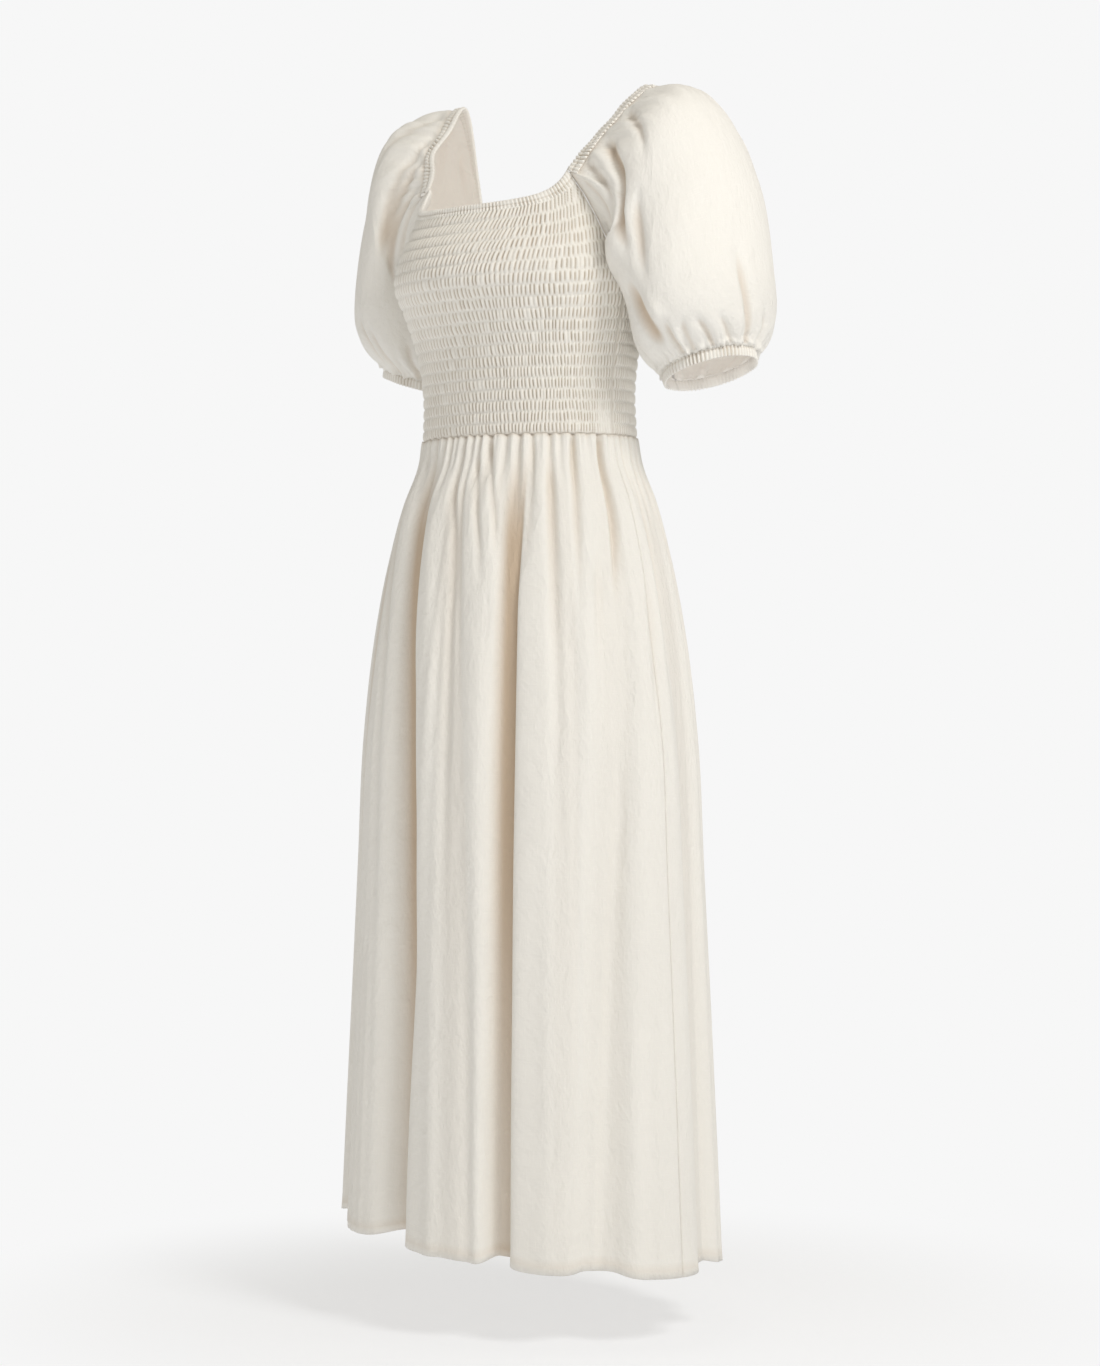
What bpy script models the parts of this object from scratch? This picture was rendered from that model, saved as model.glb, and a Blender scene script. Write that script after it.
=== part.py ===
# Peasant dress: a smocked bodice, a gathered skirt and two puffed sleeves, worn by nobody.
# The front faces -Y, the wearer's left is +X. Heights in the tables count from the waist seam, in centimetres.
import bpy
import bmesh
import numpy as np

CM = 0.01
SHOULDER_HEIGHT = 36.6      # shoulder tops above the waist seam; the frame's origin lies between them
SHOULDER_Y = 4.0            # the shoulder tops lie this far behind the waist's centre
SEAM_GAP = 0.03             # clear space between two pieces that are sewn together
CLOTH = 0.17                # wall of the plain linen
SMOCKED_CLOTH = 0.22        # wall of the shirred linen, without its puffs
PUFF_RISE = 0.2             # how far a puff stands out of the shirred wall
EDGE_PUFF_RISE = 0.06       # the same for the flattened puffs beside a seam
SIDE_SEAM_ANGLE = 86.0      # degrees round from the front centre
SEAM_RADIUS = 13.0          # body's half width at the side seams, which turns their gap into degrees

# Body of the garment at each height: half width, depth in front of the centre and depth behind it.
BODICE_SECTIONS = [
    {"height": 0.0, "half_width": 12.6, "front": 9.5, "back": 9.6},
    {"height": 5.0, "half_width": 12.5, "front": 9.6, "back": 9.3},
    {"height": 9.4, "half_width": 13.1, "front": 10.4, "back": 9.5},
    {"height": 13.3, "half_width": 14.1, "front": 12.1, "back": 9.9},
    {"height": 16.3, "half_width": 14.8, "front": 13.6, "back": 10.1},
    {"height": 19.0, "half_width": 14.5, "front": 13.1, "back": 10.0},
    {"height": 22.0, "half_width": 13.6, "front": 11.5, "back": 9.8},
    {"height": 27.0, "half_width": 11.9, "front": 9.3, "back": 9.3},
]
SKIRT_SECTIONS = [
    {"height": 0.0, "half_width": 12.7, "front": 9.6, "back": 9.8},
    {"height": -2.5, "half_width": 13.2, "front": 10.2, "back": 10.3},
    {"height": -6.6, "half_width": 14.9, "front": 11.8, "back": 11.7},
    {"height": -13.0, "half_width": 16.7, "front": 13.2, "back": 13.1},
    {"height": -19.5, "half_width": 18.0, "front": 14.2, "back": 14.1},
    {"height": -32.0, "half_width": 19.5, "front": 15.4, "back": 15.3},
    {"height": -45.0, "half_width": 20.1, "front": 15.9, "back": 15.7},
    {"height": -58.0, "half_width": 20.7, "front": 16.3, "back": 15.9},
    {"height": -87.0, "half_width": 22.0, "front": 17.3, "back": 16.6},
]

# The two shirred panels: rows of elastic, puffs in a row, neckline at the centre and its rise at the corners,
# and how far round the panel reaches at each share of its height, in degrees from its own centre.
BODICE_PANELS = {
    "bodice_front": {
        "centre": 0.0, "rows": 20, "puffs": 26, "neck_height": 23.9, "corner_rise": 2.7,
        "reach": [(0.0, 86.0), (0.68, 86.0), (0.72, 81.0), (0.77, 76.5), (0.85, 72.0), (0.93, 66.0), (1.0, 58.0)],
    },
    "bodice_back": {
        "centre": 180.0, "rows": 18, "puffs": 26, "neck_height": 22.0, "corner_rise": 1.0,
        "reach": [(0.0, 94.0), (0.73, 94.0), (0.78, 83.0), (0.84, 74.5), (0.91, 67.5), (1.0, 60.0)],
    },
}
UNDERARM_SHARE = {"bodice_front": 0.68, "bodice_back": 0.745}
NECK_BAND_HEIGHT = 1.0
NECK_BAND_WALL = 0.34
NECK_BAND_REACH = 0.985     # share of the panel's width under its elastic casing, clear of the sleeves

# Waist gathers and the long folds of the skirt. Angles are degrees round from the front centre to the
# wearer's left, at the waist, a third of the way down and at the hem; a negative lean pulls the fold's
# far edge back over its valley.
WAIST_GATHERS = 54
GATHER_RISE = 0.22
GATHER_FADE = 0.09          # share of the skirt's length in which the gathers die away
CREST_RISE = 0.9            # the crests between the long folds stand out by this at the hem
FOLDS = [
    {"waist": -24.0, "third": -12.0, "hem": -9.0, "half_width": 8.5, "depth": 3.6, "lean": -2.2},
    {"waist": -1.0, "third": 8.5, "hem": 13.5, "half_width": 7.0, "depth": 0.7, "lean": 0.0},
    {"waist": 31.0, "third": 30.0, "hem": 29.5, "half_width": 6.0, "depth": 3.2, "lean": -2.6},
    {"waist": 50.0, "third": 49.0, "hem": 46.0, "half_width": 6.0, "depth": 0.4, "lean": 0.0},
    {"waist": 75.0, "third": 67.5, "hem": 59.0, "half_width": 9.0, "depth": 2.1, "lean": -0.8},
    {"waist": 101.0, "third": 103.0, "hem": 104.0, "half_width": 8.0, "depth": 1.9, "lean": 1.2},
    {"waist": 126.0, "third": 128.0, "hem": 129.0, "half_width": 7.5, "depth": 1.1, "lean": 0.0},
    {"waist": 149.0, "third": 151.0, "hem": 153.0, "half_width": 7.0, "depth": 2.6, "lean": 1.8},
    {"waist": 178.0, "third": 177.0, "hem": 177.0, "half_width": 9.0, "depth": 1.4, "lean": -0.8},
    {"waist": 206.0, "third": 204.0, "hem": 203.0, "half_width": 7.0, "depth": 2.4, "lean": -1.6},
    {"waist": 230.0, "third": 229.0, "hem": 228.0, "half_width": 8.0, "depth": 1.2, "lean": 0.6},
    {"waist": 255.0, "third": 256.0, "hem": 257.0, "half_width": 7.0, "depth": 2.0, "lean": 1.5},
    {"waist": 282.0, "third": 283.0, "hem": 284.0, "half_width": 9.0, "depth": 1.2, "lean": 0.0},
    {"waist": 310.0, "third": 311.0, "hem": 313.0, "half_width": 7.5, "depth": 1.5, "lean": 0.9},
]
HEM_HEIGHT = -84.6          # mean height of the hem on the crests
HEM_TILT = 1.9              # the hem hangs lower on the wearer's left by this much, and higher on the right
HEM_LIFT = 0.32             # share of a fold's depth by which the hem rises in its valley
HEM_TURN = 0.9              # depth of the turned hem
HEM_EXTRA = 0.06            # the turned hem's wall is thicker by this on each side
SKIRT_DENSE_SHARES = [0.0, 0.012, 0.035, 0.08]
SKIRT_OPEN_SHARES = [0.14, 0.22, 0.33, 0.47, 0.62, 0.8]

# Left sleeve's sections: centre, half size along the raised axis and along Y, and the raised axis's tilt.
SLEEVE_SECTIONS = [
    {"share": 0.14, "centre": (17.2, 3.5, 25.8), "raised": 10.4, "deep": 8.0, "tilt": 76.0},
    {"share": 0.36, "centre": (19.3, 4.5, 21.0), "raised": 8.6, "deep": 9.0, "tilt": 51.0},
    {"share": 0.56, "centre": (20.3, 4.6, 14.9), "raised": 6.7, "deep": 9.3, "tilt": 24.0},
    {"share": 0.75, "centre": (20.5, 5.0, 10.8), "raised": 6.6, "deep": 8.7, "tilt": 19.0},
    {"share": 0.90, "centre": (20.6, 5.3, 8.5), "raised": 5.9, "deep": 7.0, "tilt": 18.0},
    {"share": 1.00, "centre": (20.6, 5.4, 7.3), "raised": 4.9, "deep": 4.9, "tilt": 18.0},
]
# Neck edge of the left sleeve from the front corner over the shoulder to the back corner, between those ends.
NECK_EDGE = [(11.3, -1.3, 31.4), (13.3, 4.0, 36.6), (13.5, 6.0, 29.6)]
# The two sleeves: the wearer's right one sits a little higher at the shoulder and at the cuff.
SLEEVES = [
    {"name": "left", "side": 1.0, "shoulder_lift": 0.0, "cuff_lift": 0.0},
    {"name": "right", "side": -1.0, "shoulder_lift": 1.0, "cuff_lift": 1.3},
]
SEAM_FULLNESS = 0.6         # how steeply the sleeve leaves the armhole seam, away from the bodice
FRONT_CORNER_TURN = 82.5    # degrees round the sleeve from the underarm to the front neck corner
BACK_CORNER_TURN = 285.0
CORNER_STEP = 0.5           # degrees over which the sleeve's edge steps from the seam to the casing's width
SLEEVE_COLUMNS = 48
SLEEVE_SHARES = [0.0, 0.06, 0.16, 0.33, 0.53, 0.74, 0.9, 1.0]
SLEEVE_SEAM_OFFSET = 0.05   # from the armhole seam's line to the sleeve's wall
SEAM_CLEARANCE = 0.30       # from the bodice's smooth surface to the middle of the sleeve's wall, at the seam
SLEEVE_CLEARANCE = 0.55     # the same past the seam, over the puffs
CUFF_GATHERS = 12
CUFF_GATHER_RISE = 0.3
NECK_GATHER_RISE = 0.3
NECK_GATHER_PITCH = 22.5    # degrees round the sleeve
CUFF_DEPTH = 1.2
CUFF_GAP = 0.11             # from the sleeve's last ring to the cuff's upper edge
CUFF_WALL = 0.3
# Rows of the cuff from its upper edge down: share of its depth, of its wall, and the height of its ripples.
CUFF_ROWS = [
    {"share": 0.0, "wall": 0.75, "ripple": 0.12},
    {"share": 0.5, "wall": 1.0, "ripple": 0.1},
    {"share": 1.0, "wall": 0.7, "ripple": 0.05},
]
CASING_WIDTH = 1.0
CASING_WALL = 0.32
CASING_COLUMNS = 27

COLOURS = {
    "linen": (0.80, 0.75, 0.67, 1.0),
    "smocked_linen": (0.80, 0.75, 0.67, 1.0),
    "elastic_edge": (0.78, 0.73, 0.64, 1.0),
}


def spline(knots, values, at):
    """Smooth curve through the values at the knots, with slopes from each knot's neighbours."""
    knots = np.asarray(knots, float)
    values = np.asarray(values, float)
    slopes = np.gradient(values, knots, axis=0)
    at = np.clip(np.asarray(at, float), knots[0], knots[-1])
    cell = np.clip(np.searchsorted(knots, at, side="right") - 1, 0, len(knots) - 2)
    width = knots[cell + 1] - knots[cell]
    t = (at - knots[cell]) / width
    extra = values.ndim - 1
    t = t.reshape(t.shape + (1,) * extra)
    width = width.reshape(t.shape)
    return (
        (2 * t**3 - 3 * t**2 + 1) * values[cell]
        + (t**3 - 2 * t**2 + t) * width * slopes[cell]
        + (3 * t**2 - 2 * t**3) * values[cell + 1]
        + (t**3 - t**2) * width * slopes[cell + 1]
    )


def section_at(sections, column, height):
    """One column of a table of sections, read at any height."""
    rows = sorted(sections, key=lambda row: row["height"])
    return spline([row["height"] for row in rows], [row[column] for row in rows], height)


def smooth_step(low, high, x):
    t = np.clip((x - low) / (high - low), 0.0, 1.0)
    return t * t * (3 - 2 * t)


def on_section(sections, angle, height):
    """Point of the garment's body at an angle round from the front centre and a height."""
    angle = np.radians(angle)
    side = section_at(sections, "half_width", height) * np.sin(angle)
    front = section_at(sections, "front", height)
    back = section_at(sections, "back", height)
    depth = -np.cos(angle) * np.where(np.cos(angle) > 0, front, back)
    return np.stack([side, depth, height + 0 * angle], axis=-1)


def normals(surface, first, second, step_first, step_second):
    """Unit normals of surface(first, second), by differences."""
    along = surface(first + step_first, second) - surface(first - step_first, second)
    across = surface(first, second + step_second) - surface(first, second - step_second)
    out = np.cross(along, across)
    return out / np.linalg.norm(out, axis=-1, keepdims=True)


def stitch(first_ids, first_at, second_ids, second_at):
    """Triangles between two lines of points, each given with its places along the line."""
    faces = []
    i = j = 0
    while i < len(first_ids) - 1 or j < len(second_ids) - 1:
        first_left = i < len(first_ids) - 1
        second_left = j < len(second_ids) - 1
        if first_left and (not second_left or first_at[i + 1] <= second_at[j + 1] + 1e-9):
            faces.append((first_ids[i], first_ids[i + 1], second_ids[j]))
            i += 1
        else:
            faces.append((first_ids[i], second_ids[j + 1], second_ids[j]))
            j += 1
    return faces


def make_material(name):
    material = bpy.data.materials.get(name)
    if material is None:
        material = bpy.data.materials.new(name)
        material.use_nodes = True
        shader = material.node_tree.nodes["Principled BSDF"]
        shader.inputs["Base Color"].default_value = COLOURS[name]
        shader.inputs["Roughness"].default_value = 0.85
        shader.inputs["Metallic"].default_value = 0.0
    return material


def make_object(name, points, faces, material):
    """One closed wall, its faces turned outwards, moved from the waist's centre to the frame's origin."""
    origin = np.array([0.0, SHOULDER_Y, SHOULDER_HEIGHT])
    mesh = bpy.data.meshes.new(name)
    mesh.from_pydata(((np.asarray(points) - origin) * CM).tolist(), [], faces)
    work = bmesh.new()
    work.from_mesh(mesh)
    bmesh.ops.recalc_face_normals(work, faces=work.faces)
    work.to_mesh(mesh)
    work.free()
    mesh.shade_smooth()
    mesh.materials.append(make_material(material))
    piece = bpy.data.objects.new(name, mesh)
    bpy.context.scene.collection.objects.link(piece)
    return piece


def cover(rows, _points):
    """Triangles over a sheet whose rows hold the numbers of their points, with no points added."""
    faces = []
    for (_, along, ids), (_, next_along, next_ids) in zip(rows, rows[1:]):
        faces += stitch(ids, along, next_ids, next_along)
    return faces


def wall(name, outer, inner, material, closed=False, outer_cover=cover):
    """Closed wall between two sheets. A sheet is a list of rows: (place, places along the row, points)."""
    points = []

    def add_rows(rows):
        result = []
        for place, along, row_points in rows:
            ids = list(range(len(points), len(points) + len(row_points)))
            points.extend(row_points)
            along = list(along)
            if closed:
                ids.append(ids[0])
                along.append(along[0] + 1.0)
            result.append((place, along, ids))
        return result

    outer = add_rows(outer)
    inner = add_rows(inner)
    faces = outer_cover(outer, points) + cover(inner, points)
    for end in (0, -1):
        faces += stitch(outer[end][2], outer[end][1], inner[end][2], inner[end][1])
    if not closed:
        for end in (0, -1):
            faces += stitch(
                [row[2][end] for row in outer], [row[0] for row in outer],
                [row[2][end] for row in inner], [row[0] for row in inner],
            )
    return make_object(name, points, faces, material)


# Bodice

def panel_surface(panel, across, up):
    """Smooth surface of a shirred panel: across runs -1 to 1, up 0 at the waist to 1 at the neck edge."""
    reach = np.interp(up, [row[0] for row in panel["reach"]], [row[1] for row in panel["reach"]])
    lift = panel["corner_rise"] * np.abs(across) ** 2.2 * np.clip(up, 0, 1) ** 3
    height = up * panel["neck_height"] + lift
    return on_section(BODICE_SECTIONS, panel["centre"] + across * reach, height)


def panel_wall(panel, across, up, offset):
    """Points of the panel moved out by an offset along its normal."""
    surface = lambda p, s: panel_surface(panel, p, s)
    up_inside = np.clip(up, 0.002, 0.998)
    return surface(across, up) + offset * normals(surface, across, up_inside, 0.01, 0.002)


def panel_edge(panel):
    """Share of the panel's half width left free for the seam at each side."""
    return 1.0 - 0.5 * SEAM_GAP / SEAM_RADIUS / np.radians(panel["reach"][0][1])


def build_bodice_panel(name, panel):
    edge = panel_edge(panel)
    bottom = 0.5 * SEAM_GAP / panel["neck_height"]
    top = 1.0 - (NECK_BAND_HEIGHT + SEAM_GAP) / panel["neck_height"]
    row_places = np.linspace(bottom, top, panel["rows"] + 1)
    columns = np.linspace(-edge, edge, panel["puffs"] + 1)
    coarse_columns = np.linspace(-edge, edge, panel["puffs"] // 2 + 1)
    outer = [(s, columns, panel_wall(panel, columns, s + 0 * columns, SMOCKED_CLOTH / 2)) for s in row_places]
    inner = [
        (s, coarse_columns, panel_wall(panel, coarse_columns, s + 0 * coarse_columns, -SMOCKED_CLOTH / 2))
        for s in row_places[::2]
    ]

    def puffs(rows, points):
        """Each puff is a low pyramid on four points of two neighbouring rows of elastic."""
        faces = []
        for (low, along, ids), (high, _, next_ids) in zip(rows, rows[1:]):
            middle = (np.array(along[1:]) + np.array(along[:-1])) / 2
            rise = np.full(len(middle), PUFF_RISE)
            rise[[0, -1]] = EDGE_PUFF_RISE
            rise = SMOCKED_CLOTH / 2 + rise[:, None]
            first = len(points)
            points.extend(panel_wall(panel, middle, (low + high) / 2 + 0 * middle, rise))
            for k in range(len(ids) - 1):
                ring = [ids[k], ids[k + 1], next_ids[k + 1], next_ids[k]]
                faces.extend((ring[m], ring[(m + 1) % 4], first + k) for m in range(4))
        return faces

    wall(name, outer, inner, "smocked_linen", outer_cover=puffs)


def build_neck_band(name, panel):
    """Elastic casing along the panel's neck edge, a strip that is thickest at its middle."""
    columns = np.linspace(-panel_edge(panel), panel_edge(panel), panel["puffs"] + 1)
    low = 1.0 - NECK_BAND_HEIGHT / panel["neck_height"]
    shares = [(low, 0.75), ((low + 1.0) / 2, 1.0), (1.0, 0.6)]
    sheets = [
        [(s, columns, panel_wall(panel, columns * NECK_BAND_REACH, s + 0 * columns, way * NECK_BAND_WALL / 2 * share))
         for s, share in shares]
        for way in (1, -1)
    ]
    wall(name, sheets[0], sheets[1], "elastic_edge")


# Skirt

def fold_growth(down):
    """How much of a long fold's depth has opened at a share of the skirt's length."""
    at_waist = 0.25 * smooth_step(0.0, 0.08, down)
    at_hip = 0.4 * smooth_step(0.05, 0.45, down)
    return at_waist + at_hip + 0.35 * smooth_step(0.4, 1.0, down)


def skirt_surface(turn, down, gathered=True):
    """Skirt at a share of a full turn from the front centre and a share of the way down to the hem."""
    angle = turn * 360.0
    hem = HEM_HEIGHT - HEM_TILT * np.sin(np.radians(angle))
    offset = 0 * angle
    shift = 0 * angle
    for fold in FOLDS:
        centre = spline([0.0, 0.33, 1.0], [fold["waist"], fold["third"], fold["hem"]], down + 0 * angle)
        t = ((angle - centre + 180.0) % 360.0 - 180.0) / fold["half_width"]
        offset = offset - fold["depth"] * fold_growth(down) / (1.0 + 1.5 * t**4)
        shoulder = t - np.where(fold["lean"] < 0, 0.95, -0.95)
        shift = shift + fold["lean"] * fold_growth(down) * np.exp(-(shoulder / 0.5) ** 2)
    height = (hem - HEM_LIFT * offset * down**3) * down
    crest = CREST_RISE * fold_growth(down)
    if gathered:
        fade = np.exp(-down / GATHER_FADE) * (0.55 + 0.45 * smooth_step(0.0, 0.02, down))
        uneven = 1.0 + 0.35 * np.sin(angle * 0.13) + 0.25 * np.sin(angle * 0.29 + 1.0)
        offset = offset + GATHER_RISE * fade * uneven * np.cos(2 * np.pi * WAIST_GATHERS * turn)
    base = on_section(SKIRT_SECTIONS, angle + shift, height)
    outward = base * np.array([1.0, 1.0, 0.0])
    outward = outward / np.linalg.norm(outward, axis=-1, keepdims=True)
    return base + outward * (offset + crest)[..., None]


def skirt_rows(start, end, side):
    """Rows of one panel's outer or inner points; gathered rows hold three points for each gather."""
    gathers = WAIST_GATHERS * (end - start)
    hem_share = 1.0 - HEM_TURN / abs(HEM_HEIGHT)
    dense = [(down, int(round(3 * gathers)), 0.0) for down in SKIRT_DENSE_SHARES]
    dense[0] = (0.5 * SEAM_GAP / abs(HEM_HEIGHT), dense[0][1], 0.0)
    loose = [(down, int(round(2 * gathers)), 0.0) for down in SKIRT_OPEN_SHARES + [hem_share]]
    loose.append((1.0, loose[0][1], HEM_EXTRA))
    trim = 0.5 * SEAM_GAP / SEAM_RADIUS / (2 * np.pi)
    smooth = lambda turn, down: skirt_surface(turn, down, gathered=False)
    rows = []
    for down, count, extra in dense + loose:
        turn = np.linspace(start + trim, end - trim, count + 1)
        down = down + 0 * turn
        out = normals(smooth, turn, np.clip(down, 0.003, 0.997), 0.002, 0.002)
        out = -out if np.sum(out * smooth(turn, down) * [1, 1, 0]) < 0 else out
        rows.append((down[0], turn, skirt_surface(turn, down) + side * (CLOTH / 2 + extra) * out))
    return rows


def build_skirt_panel(name, start, end):
    wall(name, skirt_rows(start, end, 1), skirt_rows(start, end, -1), "linen")


# Sleeves

def sleeve_edge(turn):
    """Armhole seam and neck edge of the left sleeve: turn is degrees round from the underarm."""
    shares = {}
    for name, panel in BODICE_PANELS.items():
        side = 1.0 if name == "bodice_front" else -1.0
        up = np.linspace(UNDERARM_SHARE[name], 1.0, 9)
        shares[name] = panel_surface(panel, side + 0 * up, up)
    front = shares["bodice_front"]
    back = shares["bodice_back"]
    neck = np.vstack([front[-1:], NECK_EDGE, back[-1:]])
    neck_turns = np.linspace(FRONT_CORNER_TURN, BACK_CORNER_TURN, len(neck))
    on_front = spline(np.linspace(0.0, FRONT_CORNER_TURN, 9), front, turn)
    on_neck = spline(neck_turns, neck, turn)
    on_back = spline(np.linspace(BACK_CORNER_TURN, 360.0, 9), back[::-1], turn)
    turn = turn[..., None]
    return np.where(turn < FRONT_CORNER_TURN, on_front, np.where(turn <= BACK_CORNER_TURN, on_neck, on_back))


def sleeve_ring(section, turn):
    """One section of the left sleeve: an ellipse whose raised axis leans out and up by its tilt."""
    angle = np.radians(turn)[..., None]
    tilt = np.radians(section["tilt"])
    raised = np.array([np.cos(tilt), 0.0, np.sin(tilt)])
    deep = np.array([0.0, 1.0, 0.0])
    return (
        np.array(section["centre"])
        - raised * section["raised"] * np.cos(angle)
        - deep * section["deep"] * np.sin(angle)
    )


def sleeve_surface(turn, along, gathered=True):
    """Left sleeve: each lengthwise line is a smooth curve from the edge through its sections to the cuff."""
    turn = turn % 360.0
    in_seam = 1.0 - smooth_step(77.0, 85.0, turn) * (1.0 - smooth_step(283.0, 291.0, turn))
    knots = [0.0] + [section["share"] for section in SLEEVE_SECTIONS]
    lines = np.stack([sleeve_edge(turn)] + [sleeve_ring(section, turn) for section in SLEEVE_SECTIONS])
    slopes = np.gradient(lines, np.array(knots), axis=0)
    away = lines[0] * np.array([1.0, 1.0, 0.0])
    away = away / np.linalg.norm(away, axis=-1, keepdims=True)
    slopes[0] += away * in_seam[:, None] * SEAM_FULLNESS * np.linalg.norm(slopes[0], axis=-1, keepdims=True)
    cell = np.clip(np.searchsorted(knots, along, side="right") - 1, 0, len(knots) - 2)
    knots = np.array(knots)
    width = (knots[cell + 1] - knots[cell])[..., None]
    t = ((along - knots[cell])[..., None]) / width
    pick = np.arange(len(turn))
    point = (
        (2 * t**3 - 3 * t**2 + 1) * lines[cell, pick]
        + (t**3 - 2 * t**2 + t) * width * slopes[cell, pick]
        + (3 * t**2 - 2 * t**3) * lines[cell + 1, pick]
        + (t**3 - t**2) * width * slopes[cell + 1, pick]
    )
    if gathered:
        middle = sleeve_middle(along)
        outward = point - middle
        outward = outward / np.linalg.norm(outward, axis=-1, keepdims=True)
        at_neck = smooth_step(60.0, 100.0, turn) * (1.0 - smooth_step(270.0, 300.0, turn))
        neck_wave = np.cos(2 * np.pi * turn / NECK_GATHER_PITCH) * (1.0 + 0.4 * np.sin(turn * 0.06))
        neck_fade = smooth_step(0.0, 0.08, along) * (1.0 - smooth_step(0.1, 0.42, along))
        cuff_wave = np.cos(2 * np.pi * CUFF_GATHERS * turn / 360.0)
        cuff_fade = smooth_step(0.72, 0.93, along) * (1.0 - 0.6 * smooth_step(0.93, 1.0, along))
        rise = NECK_GATHER_RISE * neck_wave * at_neck * neck_fade + CUFF_GATHER_RISE * cuff_wave * cuff_fade
        point = point + outward * rise[..., None]
    clearance = SEAM_CLEARANCE + (SLEEVE_CLEARANCE - SEAM_CLEARANCE) * smooth_step(0.0, 0.05, along)
    return clear_of_bodice(point, in_seam, clearance)


def clear_of_bodice(points, in_seam, clearance):
    """Moves points that lie on or in the bodice out from its upright axis until they are just clear of it."""
    height = points[:, 2]
    flat = np.hypot(points[:, 0], points[:, 1])
    depth = section_at(BODICE_SECTIONS, "front", height)
    depth = np.where(points[:, 1] < 0, depth, section_at(BODICE_SECTIONS, "back", height))
    half_width = section_at(BODICE_SECTIONS, "half_width", height)
    body = flat / np.hypot(points[:, 0] / half_width, points[:, 1] / depth)
    weight = np.maximum(in_seam, 1.0 - smooth_step(22.0, 25.0, height))
    push = weight * np.clip(clearance - (flat - body), 0.0, None)
    return points * np.stack([1 + push / flat, 1 + push / flat, 1 + 0 * push], axis=-1)


def sleeve_middle(along):
    """Centre line of the sleeve."""
    centres = [(14.0, 2.0, 27.0)] + [section["centre"] for section in SLEEVE_SECTIONS]
    return spline([0.0] + [section["share"] for section in SLEEVE_SECTIONS], centres, along)


def sleeve_share(turn, distance):
    """Share of the sleeve's length that lies a distance from its edge, along the first stretch."""
    first = SLEEVE_SECTIONS[0]["share"]
    run = np.linalg.norm(sleeve_ring(SLEEVE_SECTIONS[0], turn) - sleeve_edge(turn), axis=-1)
    return first * distance / run


def sleeve_wall(turn, along, offset):
    smooth = lambda w, v: sleeve_surface(w, v, gathered=False)
    out = normals(smooth, turn, np.clip(along, 0.012, 0.99), 1.0, 0.01)
    return sleeve_surface(turn, along) - out * offset


def on_side(rows, sleeve):
    """The left sleeve's rows set on either side, with that side's lift at the shoulder and at the cuff."""
    placed = []
    for place, along, points in rows:
        lift = sleeve["shoulder_lift"] * smooth_step(27.0, 36.0, points[:, 2])
        lift = lift + sleeve["cuff_lift"] * (1.0 - smooth_step(6.0, 17.0, points[:, 2]))
        rise = np.stack([0 * lift, 0 * lift, lift], axis=-1)
        placed.append((place, along, (points + rise) * np.array([sleeve["side"], 1.0, 1.0])))
    return placed


def build_sleeve(name, sleeve):
    turn = np.arange(SLEEVE_COLUMNS) * 360.0 / SLEEVE_COLUMNS
    turn = np.sort(np.append(turn, [FRONT_CORNER_TURN - CORNER_STEP, BACK_CORNER_TURN + CORNER_STEP]))
    in_neck = (turn >= FRONT_CORNER_TURN) & (turn <= BACK_CORNER_TURN)
    start = sleeve_share(turn, np.where(in_neck, CASING_WIDTH + SEAM_GAP, SLEEVE_SEAM_OFFSET))
    sheets = []
    for way in (1, -1):
        rows = []
        for share in SLEEVE_SHARES:
            along = start + (1.0 - start) * share
            rows.append((share, turn / 360.0, sleeve_wall(turn, along, way * CLOTH / 2)))
        sheets.append(on_side(rows, sleeve))
    wall(name, sheets[0], sheets[1], "linen", closed=True)


def build_neck_casing(name, sleeve):
    """Elastic casing along the sleeve's neck edge, from the front neck corner to the back one."""
    turn = np.linspace(FRONT_CORNER_TURN + CORNER_STEP, BACK_CORNER_TURN - CORNER_STEP, CASING_COLUMNS + 1)
    sheets = []
    for way in (1, -1):
        rows = []
        for distance, share in ((0.0, 0.6), (CASING_WIDTH / 2, 1.0), (CASING_WIDTH, 0.75)):
            along = sleeve_share(turn, distance)
            rows.append((distance, turn / 360.0, sleeve_wall(turn, along, way * CASING_WALL / 2 * share)))
        sheets.append(on_side(rows, sleeve))
    wall(name, sheets[0], sheets[1], "elastic_edge")


def build_cuff(name, sleeve):
    """Elastic casing that carries the sleeve's last ring on along the cuff's own axis."""
    turn = np.arange(SLEEVE_COLUMNS) * 360.0 / SLEEVE_COLUMNS
    last = SLEEVE_SECTIONS[-1]
    tilt = np.radians(last["tilt"])
    axis = np.array([np.sin(tilt), 0.0, -np.cos(tilt)])
    ring = sleeve_ring(last, turn)
    out = ring - np.array(last["centre"])
    out = out / np.linalg.norm(out, axis=-1, keepdims=True)
    wave = np.cos(2 * np.pi * CUFF_GATHERS * turn / 360.0)[:, None]
    sheets = []
    for way in (1, -1):
        rows = []
        for row in CUFF_ROWS:
            out_by = row["ripple"] * wave + way * CUFF_WALL / 2 * row["wall"]
            points = ring + axis * (CUFF_GAP + row["share"] * CUFF_DEPTH) + out * out_by
            rows.append((row["share"], turn / 360.0, points))
        sheets.append(on_side(rows, sleeve))
    wall(name, sheets[0], sheets[1], "elastic_edge", closed=True)


for old in list(bpy.data.objects):
    bpy.data.objects.remove(old, do_unlink=True)

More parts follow.
